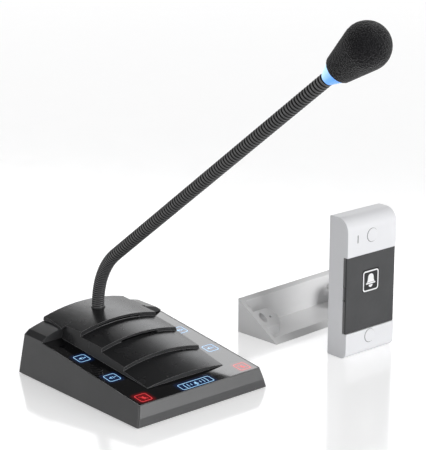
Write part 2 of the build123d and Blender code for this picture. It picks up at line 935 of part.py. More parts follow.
# ---- Sockets on the main board, their mouths at the rear wall ----
mouth_plane = across(socket_face_y)

with BuildPart() as panel_socket:
    with BuildSketch(mouth_plane):
        with Locations((panel_socket_x, socket_axis_height)):
            Rectangle(panel_socket_width, panel_socket_height)
    extrude(amount=panel_socket_length)
    with BuildSketch(mouth_plane):
        with Locations((panel_socket_x, socket_axis_height)):
            Rectangle(panel_socket_mouth_width, panel_socket_mouth_height)
    extrude(amount=panel_socket_mouth_depth, mode=Mode.SUBTRACT)
save(panel_socket.part, "panel_socket")

with BuildPart() as power_jack:
    with BuildSketch(mouth_plane):
        with Locations((power_jack_x, jack_axis_height)):
            Rectangle(power_jack_width, power_jack_height)
    extrude(amount=power_jack_length)
    with BuildSketch(mouth_plane):
        with Locations((power_jack_x, jack_axis_height)):
            Circle(power_bore_radius)
            Circle(power_pin_radius, mode=Mode.SUBTRACT)
    extrude(amount=power_bore_depth, mode=Mode.SUBTRACT)
save(power_jack.part, "power_jack")

with BuildPart() as line_socket:
    with BuildSketch(mouth_plane):
        with Locations((line_socket_x, line_axis_height)):
            Rectangle(line_socket_width, line_socket_height)
    extrude(amount=line_socket_length)
    with BuildSketch(mouth_plane):
        with Locations((line_socket_x, line_axis_height)):
            Circle(line_bore_radius)
    extrude(amount=line_bore_depth, mode=Mode.SUBTRACT)
save(line_socket.part, "line_socket")

# ---- Gooseneck: collar, washer, nut and seven hollow links on ball joints ----
neck_start_height = neck_seat_height + collar_height
bend_length = neck_bend_radius * math.radians(neck_lean)
neck_length = bend_length + neck_straight_length
neck_joint_stations = (first_joint_station,) + tuple(
    second_joint_station + step * joint_pitch for step in range(joint_count - 1)
)
bend_axis = Axis((0, neck_root_y - neck_bend_radius, neck_start_height), (1, 0, 0))


def neck_plane(station):
    """Plane across the neck at a distance along its centre line from the top of the collar."""
    angle = math.radians(neck_lean) * min(station / bend_length, 1)
    straight = max(station - bend_length, 0)
    direction = Vector(0, -math.sin(angle), math.cos(angle))
    bend_end = Vector(
        0,
        neck_root_y - neck_bend_radius * (1 - math.cos(angle)),
        neck_start_height + neck_bend_radius * math.sin(angle),
    )
    return Plane(origin=bend_end + direction * straight, x_dir=(1, 0, 0), z_dir=direction)


def neck_run(radius, low, high):
    """A round bar along the neck's centre line between two stations."""
    with BuildPart() as bar:
        if low < bend_length:
            with BuildSketch(neck_plane(low)):
                Circle(radius)
            revolve(axis=bend_axis, revolution_arc=neck_lean * (min(high, bend_length) - low) / bend_length)
        if high > bend_length:
            straight_start = max(low, bend_length)
            with BuildSketch(neck_plane(straight_start)):
                Circle(radius)
            extrude(amount=high - straight_start)
    return bar.part


def ball_end(station):
    """The ball at a station with its stem back into the link's tube."""
    with BuildPart() as end:
        with BuildSketch(neck_plane(station)):
            Circle(ball_stem_radius)
        extrude(amount=-ball_reach - socket_lip)
        with Locations(neck_plane(station)):
            Sphere(ball_radius)
    return end.part


def ball_bore(station):
    """The wire's way through a ball and its stem."""
    with BuildPart() as bore:
        with BuildSketch(neck_plane(station)):
            Circle(neck_bore_radius)
        extrude(amount=ball_reach + socket_lip, both=True)
    return bore.part


def socket_ball(station):
    """The hollow that the ball of the link before turns in."""
    with BuildPart() as hollow:
        with Locations(neck_plane(station)):
            Sphere(ball_radius + ball_clearance)
    return hollow.part


neck_seat_plane = Plane.XY.offset(neck_seat_height)
with BuildPart() as neck_collar:
    with BuildSketch(neck_seat_plane):
        with Locations((0, neck_root_y)):
            Circle(collar_radius)
            Circle(shank_radius + shank_clearance, mode=Mode.SUBTRACT)
    extrude(amount=collar_height)
save(neck_collar.part, "neck_collar")

with BuildPart() as neck_washer:
    with BuildSketch(Plane.XY.offset(neck_pad_bottom)):
        with Locations((0, neck_root_y)):
            Circle(washer_radius)
            Circle(shank_radius + shank_clearance, mode=Mode.SUBTRACT)
    extrude(amount=-washer_thickness)
save(neck_washer.part, "neck_washer")

with BuildPart() as neck_nut:
    with BuildSketch(Plane.XY.offset(neck_pad_bottom - washer_thickness)):
        with Locations((0, neck_root_y)):
            RegularPolygon(nut_across_flats / 2, 6, major_radius=False)
            Circle(shank_radius + screw_fit, mode=Mode.SUBTRACT)
    extrude(amount=-nut_thickness)
save(neck_nut.part, "neck_nut")

link_starts = (0,) + neck_joint_stations
link_ends = neck_joint_stations + (neck_length,)
for index, (link_start, link_end) in enumerate(zip(link_starts, link_ends)):
    fixed_end = index == 0
    head_end = index == len(neck_joint_stations)
    tube_start = 0 if fixed_end else link_start - socket_lip
    tube_end = neck_length if head_end else link_end - ball_reach
    with BuildPart() as neck_link:
        add(neck_run(neck_radius, tube_start, tube_end))
        if fixed_end:
            with BuildSketch(neck_plane(0)):
                Circle(shank_radius)
            extrude(amount=-shank_length)
            with BuildSketch(neck_plane(0)):
                Circle(neck_bore_radius)
            extrude(amount=-shank_length, mode=Mode.SUBTRACT)
        else:
            add(socket_ball(link_start), mode=Mode.SUBTRACT)
        if head_end:
            with BuildSketch(neck_plane(neck_length)):
                Circle(stem_radius + stem_clearance)
            extrude(amount=-stem_insert, mode=Mode.SUBTRACT)
        else:
            add(ball_end(link_end))
            add(ball_bore(link_end), mode=Mode.SUBTRACT)
        add(neck_run(neck_bore_radius, tube_start, tube_end), mode=Mode.SUBTRACT)
    save(neck_link.part, f"neck_link_{index}")

# ---- Microphone head: light ring, its board, capsule housing, capsule and foam windscreen ----
head_plane = neck_plane(neck_length)
head_section = Plane(origin=head_plane.origin, x_dir=(1, 0, 0), z_dir=-head_plane.y_dir)
head_axis = Axis(head_plane.origin, head_plane.z_dir)

with BuildPart() as light_ring:
    with BuildSketch(head_section):
        with BuildLine():
            Polyline(
                (stem_radius + stem_clearance, 0),
                (neck_radius, 0),
                (ring_front_radius, ring_length),
                (ring_hollow_radius, ring_length),
                (ring_hollow_radius, ring_length - ring_hollow_depth),
                (stem_radius + stem_clearance, ring_length - ring_hollow_depth),
                close=True,
            )
        make_face()
    revolve(axis=head_axis)
save(light_ring.part, "light_ring")

with BuildPart() as led_board:
    with BuildSketch(head_plane.offset(ring_length - ring_hollow_depth)):
        Circle(ring_hollow_radius - led_board_gap)
        Circle(stem_radius + led_board_gap, mode=Mode.SUBTRACT)
    extrude(amount=led_board_thickness)
    with BuildSketch(head_plane.offset(ring_length - ring_hollow_depth + led_board_thickness)):
        with PolarLocations(led_circle, led_count):
            Rectangle(led_size, led_size)
    extrude(amount=led_height)
save(led_board.part, "led_board")

capsule_face = ring_length + cup_length - capsule_recess
with BuildPart() as capsule_housing:
    with BuildSketch(head_plane.offset(-stem_insert)):
        Circle(stem_radius)
    extrude(amount=stem_insert + ring_length)
    with BuildSketch(head_plane.offset(ring_length)):
        Circle(cup_radius)
    extrude(amount=cup_length)
    with BuildSketch(head_plane.offset(capsule_face - capsule_length)):
        Circle(capsule_radius + stem_clearance)
    extrude(amount=cup_length, mode=Mode.SUBTRACT)
    with BuildSketch(head_plane.offset(-stem_insert)):
        Circle(neck_bore_radius)
    extrude(amount=stem_insert + ring_length + cup_length, mode=Mode.SUBTRACT)
save(capsule_housing.part, "capsule_housing")

with BuildPart() as mic_capsule:
    with BuildSketch(head_plane.offset(capsule_face)):
        Circle(capsule_radius)
    extrude(amount=-capsule_length)
save(mic_capsule.part, "mic_capsule")

foam_base = ring_length + foam_gap
foam_middle = ring_length + foam_neck_length
foam_bore_end = ring_length + cup_length + foam_bore_spare
foam_base_distance = math.hypot(foam_base_radius, foam_middle - foam_base)
foam_base_angle = math.atan2(foam_base - foam_middle, foam_base_radius)
foam_tangent_angle = foam_base_angle + math.acos(foam_ball_radius / foam_base_distance)
foam_arc_angle = (foam_tangent_angle + math.radians(90)) / 2
with BuildPart() as windscreen:
    with BuildSketch(head_section):
        with BuildLine():
            Polyline(
                (0, foam_middle + foam_ball_radius),
                (0, foam_bore_end),
                (cup_radius + foam_gap, foam_bore_end),
                (cup_radius + foam_gap, foam_base),
                (foam_base_radius, foam_base),
                (
                    foam_ball_radius * math.cos(foam_tangent_angle),
                    foam_middle + foam_ball_radius * math.sin(foam_tangent_angle),
                ),
            )
            ThreePointArc(
                (
                    foam_ball_radius * math.cos(foam_tangent_angle),
                    foam_middle + foam_ball_radius * math.sin(foam_tangent_angle),
                ),
                (
                    foam_ball_radius * math.cos(foam_arc_angle),
                    foam_middle + foam_ball_radius * math.sin(foam_arc_angle),
                ),
                (0, foam_middle + foam_ball_radius),
            )
        make_face()
    revolve(axis=head_axis)
save(windscreen.part, "windscreen")

# ---- Customer panel ----
panel_back_y = panel_front_y + panel_depth
panel_half = panel_width / 2
recess_depth = face_plate_sink + face_plate_thickness + seal_thickness
recess_floor_y = panel_front_y + recess_depth
board_front_y = recess_floor_y + recess_wall
cavity_half = panel_half - panel_wall
cavity_back_y = panel_back_y - back_plate_thickness
panel_middle = panel_height / 2
fixing_places = [(panel_x, fixing_low_height), (panel_x, fixing_low_height + fixing_spacing)]
back_screw_places = [
    (panel_x + side * back_screw_x, panel_middle + end * back_screw_spacing / 2)
    for side in (-1, 1)
    for end in (-1, 1)
]
panel_side = Plane.YZ.offset(panel_x)
board_back_y = board_front_y + panel_board_thickness


def front_corner(y, z, radius, way):
    """A quarter round at the panel's front, from the front face to its top (way 1) or its bottom (way -1)."""
    start = (y, z - way * radius)
    middle = (y + radius * (1 - math.sqrt(0.5)), z - way * radius * (1 - math.sqrt(0.5)))
    ThreePointArc(start, middle, (y + radius, z))


with BuildPart() as panel_body:
    with BuildSketch(panel_side):
        with BuildLine():
            front_corner(panel_front_y, panel_height, panel_top_radius, 1)
            Line((panel_front_y + panel_top_radius, panel_height), (panel_back_y, panel_height))
            Line((panel_back_y, panel_height), (panel_back_y, 0))
            Line((panel_back_y, 0), (panel_front_y + panel_bottom_radius, 0))
            front_corner(panel_front_y, 0, panel_bottom_radius, -1)
            Line((panel_front_y, panel_bottom_radius), (panel_front_y, panel_height - panel_top_radius))
        make_face()
    extrude(amount=panel_half, both=True)
    back_edges = panel_body.edges().filter_by(Axis.X).group_by(Axis.Y)[-1]
    fillet(back_edges, panel_back_radius)
    with BuildSketch(panel_side):
        with BuildLine():
            top = panel_height - panel_wall
            front_corner(panel_front_y + panel_wall, top, panel_top_radius - panel_wall, 1)
            Polyline(
                (panel_front_y + panel_top_radius, top),
                (cavity_back_y, top),
                (cavity_back_y, panel_wall),
                (panel_front_y + panel_bottom_radius, panel_wall),
            )
            front_corner(panel_front_y + panel_wall, panel_wall, panel_bottom_radius - panel_wall, -1)
            Polyline(
                (panel_front_y + panel_wall, panel_bottom_radius),
                (panel_front_y + panel_wall, recess_bottom - recess_wall),
                (board_front_y, recess_bottom - recess_wall),
                (board_front_y, recess_top + recess_wall),
                (panel_front_y + panel_wall, recess_top + recess_wall),
                (panel_front_y + panel_wall, panel_height - panel_top_radius),
            )
        make_face()
    extrude(amount=cavity_half, both=True, mode=Mode.SUBTRACT)
    with BuildSketch(across(panel_back_y)):
        with Locations((panel_x, panel_middle)):
            Rectangle(
                2 * (cavity_half + back_plate_rebate),
                panel_height - 2 * (panel_wall - back_plate_rebate),
            )
    extrude(amount=back_plate_thickness, mode=Mode.SUBTRACT)
    with BuildSketch(across(cavity_back_y)):
        with Locations(*fixing_places):
            Circle(fixing_boss_radius)
        with Locations(*back_screw_places):
            Circle(back_boss_radius)
    extrude(amount=cavity_back_y - panel_front_y - panel_wall / 2)
    with BuildSketch(across(panel_front_y + panel_wall / 2)):
        with Locations((panel_x + microphone_slot_x, microphone_slot_height)):
            Circle(boot_radius + boot_clearance + boot_rim)
    extrude(amount=-panel_wall / 2 - boot_rim_height)
    with BuildSketch(panel_side):
        with Locations((panel_front_y + recess_depth / 2, (recess_bottom + recess_top) / 2)):
            Rectangle(recess_depth, recess_top - recess_bottom)
    extrude(amount=panel_width, both=True, mode=Mode.SUBTRACT)
    with BuildSketch(across(panel_front_y + panel_wall)):
        with Locations((panel_x + microphone_slot_x, microphone_slot_height)):
            Circle(boot_radius + boot_clearance)
    extrude(amount=-boot_length, mode=Mode.SUBTRACT)
    with BuildSketch(across(panel_front_y)):
        with Locations((panel_x + microphone_slot_x, microphone_slot_height)):
            SlotOverall(microphone_slot_length, microphone_slot_width, rotation=90)
    extrude(amount=-panel_wall, mode=Mode.SUBTRACT)
    with BuildSketch(across(panel_front_y)):
        with Locations(*fixing_places):
            Circle(plug_radius + plug_gap)
    extrude(amount=-plug_thickness, mode=Mode.SUBTRACT)
    with BuildSketch(across(panel_front_y)):
        with Locations(*fixing_places):
            Circle(fixing_head_radius)
    extrude(amount=panel_front_y - cavity_back_y + fixing_floor, mode=Mode.SUBTRACT)
    with BuildSketch(across(cavity_back_y)):
        with Locations(*fixing_places):
            Circle(fixing_hole_radius)
    extrude(amount=fixing_floor, mode=Mode.SUBTRACT)
    with BuildSketch(across(cavity_back_y)):
        with Locations(*back_screw_places):
            Circle(back_screw_radius + screw_fit)
    extrude(amount=back_screw_length, mode=Mode.SUBTRACT)
    with BuildSketch(across(recess_floor_y)):
        with Locations((panel_x, (panel_window_bottom + panel_window_top) / 2)):
            Rectangle(2 * panel_window_half, panel_window_top - panel_window_bottom)
    extrude(amount=-recess_wall, mode=Mode.SUBTRACT)
save(panel_body.part, "panel_body")

seal_middle = (recess_bottom + recess_top) / 2
seal_height = recess_top - recess_bottom - 2 * face_plate_gap
seal_half = panel_half - seal_side_inset
with BuildPart() as plate_seal:
    with BuildSketch(across(recess_floor_y)):
        with Locations((panel_x, seal_middle)):
            Rectangle(2 * seal_half, seal_height)
            Rectangle(2 * (seal_half - seal_width), seal_height - 2 * seal_width, mode=Mode.SUBTRACT)
    extrude(amount=seal_thickness)
    with BuildSketch(across(recess_floor_y)):
        with Locations((panel_x, seal_outlet_z)):
            Rectangle(2 * panel_width, seal_outlet_height)
    extrude(amount=seal_thickness, mode=Mode.SUBTRACT)
save(plate_seal.part, "plate_seal")

plate_rear_y = recess_floor_y - seal_thickness
with BuildPart() as face_plate:
    with BuildSketch(across(plate_rear_y)):
        with Locations((panel_x, seal_middle)):
            Rectangle(panel_width, seal_height)
        with Locations((panel_x, call_key_height)):
            RectangleRounded(
                call_key_size + 2 * call_key_gap,
                call_key_size + 2 * call_key_gap,
                call_key_radius + call_key_gap,
                mode=Mode.SUBTRACT,
            )
    extrude(amount=face_plate_thickness)
save(face_plate.part, "face_plate")

flange_rear_y = plate_rear_y + call_key_flange_thickness
with BuildPart() as call_key:
    with BuildSketch(across(flange_rear_y)):
        with Locations((panel_x, call_key_height)):
            RectangleRounded(
                call_key_size + 2 * call_key_flange,
                call_key_size + 2 * call_key_flange,
                call_key_radius,
            )
    extrude(amount=call_key_flange_thickness)
    with BuildSketch(across(plate_rear_y)):
        with Locations((panel_x, call_key_height)):
            RectangleRounded(call_key_size, call_key_size, call_key_radius)
    extrude(amount=call_key_thickness)
save(call_key.part, "call_key")

switch_front_y = flange_rear_y + call_key_travel + switch_clearance
with BuildPart() as key_switch:
    with BuildSketch(across(board_front_y)):
        with Locations((panel_x, call_key_height)):
            Rectangle(switch_size, switch_size)
    extrude(amount=board_front_y - switch_front_y)
save(key_switch.part, "key_switch")

with BuildPart() as panel_board:
    with BuildSketch(across(board_back_y)):
        with Locations((panel_x, (panel_board_bottom + panel_board_top) / 2)):
            Rectangle(panel_board_width, panel_board_top - panel_board_bottom)
        with Locations((panel_x, panel_speaker_height)):
            Circle(panel_mouth_radius, mode=Mode.SUBTRACT)
    extrude(amount=panel_board_thickness)
save(panel_board.part, "panel_board")

# ---- The panel's speaker, behind the board's round mouth ----
with BuildPart() as panel_basket:
    with BuildSketch(across(board_back_y)):
        with Locations((panel_x, panel_speaker_height)):
            Circle(panel_speaker_radius)
    extrude(amount=-panel_speaker_depth)
    with BuildSketch(across(board_back_y)):
        with Locations((panel_x, panel_speaker_height)):
            Circle(panel_speaker_radius - basket_wall)
    extrude(amount=basket_wall - panel_speaker_depth, mode=Mode.SUBTRACT)
save(panel_basket.part, "panel_basket")

basket_floor_y = board_back_y + panel_speaker_depth - basket_wall
panel_cone_plane = Plane(origin=(panel_x, basket_floor_y, panel_speaker_height))
panel_cone_radius = panel_speaker_radius - basket_wall - cone_clearance
with BuildPart() as panel_cone:
    with BuildSketch(panel_cone_plane):
        with BuildLine():
            Polyline(
                (0, 0),
                (panel_magnet_radius, 0),
                (panel_cone_radius, -panel_cone_rise),
                (panel_cone_radius, -panel_cone_rise - cone_thickness),
                (panel_magnet_radius, -cone_thickness),
                (0, -cone_thickness),
                close=True,
            )
        make_face()
    revolve(axis=Axis(panel_cone_plane.origin, panel_cone_plane.y_dir))
save(panel_cone.part, "panel_cone")

with BuildPart() as panel_magnet:
    with BuildSketch(across(board_back_y + panel_speaker_depth)):
        with Locations((panel_x, panel_speaker_height)):
            Circle(panel_magnet_radius)
    extrude(amount=-panel_magnet_thickness)
save(panel_magnet.part, "panel_magnet")

# ---- The panel's microphone in its rubber boot, the wire terminal, the back and the plugs ----
slot_place = (panel_x + microphone_slot_x, microphone_slot_height)
boot_front_y = panel_front_y + panel_wall
with BuildPart() as mic_boot:
    with BuildSketch(across(boot_front_y)):
        with Locations(slot_place):
            Circle(boot_radius)
            Circle(panel_capsule_radius + stem_clearance, mode=Mode.SUBTRACT)
    extrude(amount=-boot_length)
save(mic_boot.part, "mic_boot")

with BuildPart() as panel_microphone:
    with BuildSketch(across(boot_front_y)):
        with Locations(slot_place):
            Circle(panel_capsule_radius)
    extrude(amount=-panel_capsule_length)
save(panel_microphone.part, "panel_microphone")

with BuildPart() as panel_terminal:
    with BuildSketch(across(board_back_y)):
        with Locations((panel_x, terminal_z)):
            Rectangle(terminal_width, terminal_height)
    extrude(amount=-terminal_depth)
    with BuildSketch(across(board_back_y + terminal_depth)):
        with Locations((panel_x, terminal_z)):
            with GridLocations(terminal_pitch, 0, terminal_ways, 1):
                Circle(terminal_hole_radius)
    extrude(amount=terminal_hole_depth, mode=Mode.SUBTRACT)
save(panel_terminal.part, "panel_terminal")

with BuildPart() as panel_back:
    with BuildSketch(across(panel_back_y)):
        with Locations((panel_x, panel_middle)):
            Rectangle(
                2 * (cavity_half + back_plate_rebate - back_plate_gap),
                panel_height - 2 * (panel_wall - back_plate_rebate + back_plate_gap),
            )
        with Locations(*fixing_places):
            Circle(fixing_hole_radius, mode=Mode.SUBTRACT)
        with Locations(*back_screw_places):
            Circle(back_screw_radius + back_plate_gap, mode=Mode.SUBTRACT)
        with Locations((panel_x, terminal_z)):
            Circle(cable_hole_radius, mode=Mode.SUBTRACT)
    extrude(amount=back_plate_thickness)
    with BuildSketch(across(panel_back_y)):
        with Locations(*back_screw_places):
            Circle(back_screw_head_radius + back_plate_gap)
    extrude(amount=back_screw_head_height, mode=Mode.SUBTRACT)
save(panel_back.part, "panel_back")

with BuildPart() as back_screws:
    with BuildSketch(across(panel_back_y)):
        with Locations(*back_screw_places):
            Circle(back_screw_head_radius)
    extrude(amount=back_screw_head_height)
    with BuildSketch(across(panel_back_y)):
        with Locations(*back_screw_places):
            Circle(back_screw_radius)
    extrude(amount=back_screw_length)
save(back_screws.part, "back_screws")

with BuildPart() as screw_plugs:
    with BuildSketch(across(panel_front_y)):
        with Locations(*fixing_places):
            Circle(plug_radius)
    extrude(amount=-plug_thickness)
save(screw_plugs.part, "screw_plugs")

# ---- Wedge bracket: one casting whose slanted rim is the panel's seat ----
yaw_direction = Vector(math.cos(math.radians(bracket_yaw)), math.sin(math.radians(bracket_yaw)), 0)
bracket_plane = Plane(origin=(bracket_x, bracket_y, 0), x_dir=yaw_direction, z_dir=(0, 0, 1))
bracket_side = Plane(origin=bracket_plane.origin, x_dir=bracket_plane.y_dir, z_dir=bracket_plane.x_dir)
bracket_front = -bracket_depth / 2
bracket_back = bracket_depth / 2
back_inner = bracket_back - bracket_back_wall
lip_inner = bracket_front + bracket_lip_height * bracket_depth / bracket_height
bracket_rear_plane = Plane(
    origin=bracket_plane.from_local_coords(Vector(0, bracket_back, 0)),
    x_dir=bracket_plane.x_dir,
    z_dir=-bracket_plane.y_dir,
)
seat_middle = bracket_plane.from_local_coords(Vector(0, 0, bracket_height / 2))
seat_edge = bracket_plane.from_local_coords(Vector(0, bracket_back, bracket_height))
seat_plane = Plane(
    origin=seat_middle,
    x_dir=bracket_plane.x_dir,
    z_dir=bracket_plane.x_dir.cross(seat_edge - seat_middle),
)
thread_rise = tongue_offset * math.hypot(bracket_height, bracket_depth) / bracket_depth

with BuildPart() as bracket_wedge:
    with BuildSketch(bracket_side):
        with BuildLine():
            Polyline((bracket_front, 0), (bracket_back, 0), (bracket_back, bracket_height), close=True)
        make_face()
    extrude(amount=bracket_length / 2, both=True)

with BuildPart() as bracket_tongues:
    with BuildSketch(bracket_plane):
        with Locations((-tongue_middle_x, tongue_offset), (tongue_middle_x, tongue_offset)):
            Circle(tongue_radius)
        for side in (-1, 1):
            with Locations((side * (tongue_middle_x + bracket_length / 2) / 2, tongue_offset)):
                Rectangle(bracket_length / 2 - tongue_middle_x, 2 * tongue_radius)
    extrude(amount=bracket_height)
    add(bracket_wedge.part, mode=Mode.INTERSECT)

with BuildPart() as wedge_bracket:
    add(bracket_wedge.part)
    with BuildSketch(bracket_plane.offset(bracket_floor)):
        with Locations((0, (lip_inner + back_inner) / 2)):
            Rectangle(bracket_length - 2 * bracket_end_wall, back_inner - lip_inner)
    extrude(amount=bracket_height, mode=Mode.SUBTRACT)
    add(bracket_tongues.part)
    with BuildSketch(seat_plane):
        with Locations((-fixing_spacing / 2, thread_rise), (fixing_spacing / 2, thread_rise)):
            Circle(panel_thread_radius)
    extrude(amount=-panel_thread_depth, mode=Mode.SUBTRACT)
    with BuildSketch(seat_plane.offset(-panel_thread_depth)):
        with Locations((-fixing_spacing / 2, thread_rise), (fixing_spacing / 2, thread_rise)):
            Circle(thread_relief_radius)
    extrude(amount=-bracket_height, mode=Mode.SUBTRACT)
    with BuildSketch(bracket_rear_plane):
        with Locations((-wall_screw_x, wall_screw_height), (wall_screw_x, wall_screw_height)):
            Circle(wall_screw_radius)
    extrude(amount=wall_screw_seat, mode=Mode.SUBTRACT)
    with BuildSketch(bracket_rear_plane.offset(wall_screw_seat)):
        with Locations((-wall_screw_x, wall_screw_height), (wall_screw_x, wall_screw_height)):
            Circle(wall_screw_head_radius)
    extrude(amount=bracket_depth, mode=Mode.SUBTRACT)
save(wedge_bracket.part, "wedge_bracket")
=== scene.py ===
"""Counter intercom set, dressed: desk console, bendable microphone, customer panel and wedge bracket."""

import json
import logging
import math
from dataclasses import dataclass, field
from enum import Enum
from typing import Callable, Protocol, Sequence

import bpy
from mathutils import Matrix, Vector, noise

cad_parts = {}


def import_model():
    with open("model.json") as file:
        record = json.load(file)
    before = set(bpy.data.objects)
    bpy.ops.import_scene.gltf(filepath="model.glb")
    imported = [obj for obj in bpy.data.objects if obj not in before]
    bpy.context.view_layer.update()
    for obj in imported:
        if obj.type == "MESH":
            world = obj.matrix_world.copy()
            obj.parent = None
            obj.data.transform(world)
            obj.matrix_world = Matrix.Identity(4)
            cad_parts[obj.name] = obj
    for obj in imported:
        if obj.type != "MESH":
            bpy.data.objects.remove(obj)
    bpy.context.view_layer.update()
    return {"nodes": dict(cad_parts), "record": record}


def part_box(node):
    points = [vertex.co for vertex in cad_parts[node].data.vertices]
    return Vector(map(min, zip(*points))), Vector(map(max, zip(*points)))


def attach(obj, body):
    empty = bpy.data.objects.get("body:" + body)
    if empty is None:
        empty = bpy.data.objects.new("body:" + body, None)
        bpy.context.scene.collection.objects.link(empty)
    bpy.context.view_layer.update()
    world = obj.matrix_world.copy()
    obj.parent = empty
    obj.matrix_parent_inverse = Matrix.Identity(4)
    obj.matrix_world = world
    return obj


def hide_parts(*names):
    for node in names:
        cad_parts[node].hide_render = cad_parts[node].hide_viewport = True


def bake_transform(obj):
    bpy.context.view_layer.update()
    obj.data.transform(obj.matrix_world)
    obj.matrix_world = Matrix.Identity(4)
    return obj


Pair = tuple[float, float]
Triple = tuple[float, float, float]
Colour = Triple
Piece = bpy.types.Object
Socket = bpy.types.NodeSocket

LOG = logging.getLogger("intercom")
MM = 0.001
TINY = 1e-9
ACROSS = Vector((1, 0, 0))
UPWARD = Vector((0, 0, 1))
BLACK: Colour = (0.0, 0.0, 0.0)
WHITE: Colour = (1.0, 1.0, 1.0)
RISING: Pair = (0.0, 1.0)
FALLING: Pair = (1.0, 0.0)
NOISE_SPAN: Pair = (0.3, 0.7)
TINT_OCTAVES = 4.0
GLOSS_OCTAVES = 3.0
GRAIN_OCTAVES = 2.0
BEVEL_SAMPLES = 6
SHADING_WEIGHT = 80
RIDGE = "ridge"


# ---- Node trees ----


class Mix(Enum):
    """What a mix works on: its name in Blender, its two inputs and its output."""

    NUMBER = ("FLOAT", 2, 3, 0)
    COLOUR = ("RGBA", 6, 7, 2)


class NodeTree:
    """A node tree, with short calls for the nodes that the finishes and the room share."""

    def __init__(self, tree: bpy.types.NodeTree, coordinates: str) -> None:
        """Empties a tree.

        Args:
            tree: the tree.
            coordinates: the coordinates in which its patterns lie, by their name in Blender.
        """
        tree.nodes.clear()
        self.nodes = tree.nodes
        self.links = tree.links
        self.place = self.output("ShaderNodeTexCoord", coordinates)

    def output(self, kind: str, name: str) -> Socket:
        """One output of a new node that takes no inputs."""
        return self.nodes.new(kind).outputs[name]

    def plug(self, value: Socket | Colour | float, target: Socket) -> None:
        """Links a value to an input, or sets it there if it is fixed.

        Args:
            value: the value.
            target: the input.
        """
        if isinstance(value, float):
            target.default_value = value
        elif isinstance(value, tuple):
            target.default_value = (*value, 1.0) if target.type == "RGBA" else value
        else:
            self.links.new(value, target)

    def vector(self, operation: str, first: Socket, second: Socket | Triple | None = None) -> Socket:
        """One vector operation.

        Args:
            operation: the operation's name in Blender.
            first: the first vector.
            second: the second vector, linked or fixed.

        Returns:
            The result, a number for LENGTH and DOT_PRODUCT and a vector otherwise.
        """
        node = self.nodes.new("ShaderNodeVectorMath")
        node.operation = operation
        self.plug(first, node.inputs[0])
        if second is not None:
            self.plug(second, node.inputs[1])
        return node.outputs["Value" if operation in ("LENGTH", "DOT_PRODUCT") else "Vector"]

    def number(self, operation: str, first: Socket, second: Socket | float = 0.0) -> Socket:
        """One operation on numbers.

        Args:
            operation: the operation's name in Blender.
            first: the first number.
            second: the second number, linked or fixed.

        Returns:
            The result.
        """
        node = self.nodes.new("ShaderNodeMath")
        node.operation = operation
        self.plug(first, node.inputs[0])
        self.plug(second, node.inputs[1])
        return node.outputs["Value"]

    def axes(self, vector: Socket) -> tuple[Socket, Socket, Socket]:
        """Takes a vector apart.

        Args:
            vector: the vector.

        Returns:
            Its three numbers.
        """
        node = self.nodes.new("ShaderNodeSeparateXYZ")
        self.plug(vector, node.inputs["Vector"])
        return node.outputs["X"], node.outputs["Y"], node.outputs["Z"]

    def mix(self, kind: Mix, share: Socket, first: Socket, second: Socket | Colour) -> Socket:
        """Goes from one number or colour to another.

        Args:
            kind: whether it mixes numbers or colours.
            share: how much of the second shows.
            first: the first number or colour.
            second: the second one, linked or fixed.

        Returns:
            The number or colour between them.
        """
        data_type, first_input, second_input, result = kind.value
        node = self.nodes.new("ShaderNodeMix")
        node.data_type = data_type
        self.plug(share, node.inputs[0])
        self.plug(first, node.inputs[first_input])
        self.plug(second, node.inputs[second_input])
        return node.outputs[result]

    def noise(self, scale: float, detail: float = 3.0, place: Socket | None = None) -> Socket:
        """Soft noise of a scale per metre.

        Args:
            scale: how many features fit in a metre.
            detail: octaves.
            place: where to read it, the tree's own place if left out.

        Returns:
            The noise, from 0 to 1.
        """
        node = self.nodes.new("ShaderNodeTexNoise")
        self.plug(scale, node.inputs["Scale"])
        self.plug(detail, node.inputs["Detail"])
        self.plug(place or self.place, node.inputs["Vector"])
        return node.outputs["Fac"]

    def cells(self, scale: float) -> Socket:
        """Scattered cells, for pores and cast grain.

        Args:
            scale: how many cells fit in a metre.

        Returns:
            The distance to the nearest cell's centre.
        """
        node = self.nodes.new("ShaderNodeTexVoronoi")
        self.plug(scale, node.inputs["Scale"])
        self.plug(self.place, node.inputs["Vector"])
        return node.outputs["Distance"]

    def spread(self, value: Socket, source: Pair, target: Pair, smooth: bool = False) -> Socket:
        """Maps a number from one range to another.

        Args:
            value: the number.
            source: the range that it comes in.
            target: the range that it leaves in.
            smooth: eases both ends.

        Returns:
            The mapped number, clamped.
        """
        node = self.nodes.new("ShaderNodeMapRange")
        node.interpolation_type = "SMOOTHSTEP" if smooth else "LINEAR"
        self.plug(value, node.inputs["Value"])
        node.inputs["From Min"].default_value, node.inputs["From Max"].default_value = source
        node.inputs["To Min"].default_value, node.inputs["To Max"].default_value = target
        return node.outputs["Result"]

    def uneven(self, scale: float, detail: float, target: Pair) -> Socket:
        """A number that wavers over the surface between two ends."""
        return self.spread(self.noise(scale, detail), NOISE_SPAN, target)

    def tints(self, value: Socket, stops: Sequence[tuple[float, Colour]]) -> Socket:
        """Colours along a number.

        Args:
            value: the number, from 0 to 1.
            stops: places and their colours, in order.

        Returns:
            The colour.
        """
        node = self.nodes.new("ShaderNodeValToRGB")
        self.plug(value, node.inputs["Fac"])
        elements = node.color_ramp.elements
        while len(elements) < len(stops):
            elements.new(0.5)
        for element, (place, colour) in zip(elements, stops):
            element.position = place
            element.color = (*colour, 1.0)
        return node.outputs["Color"]

    def mottled(self, scale: float, detail: float, first: Colour, second: Colour) -> Socket:
        """Two close tints that drift into each other."""
        return self.tints(self.noise(scale, detail), tuple(zip(NOISE_SPAN, (first, second))))


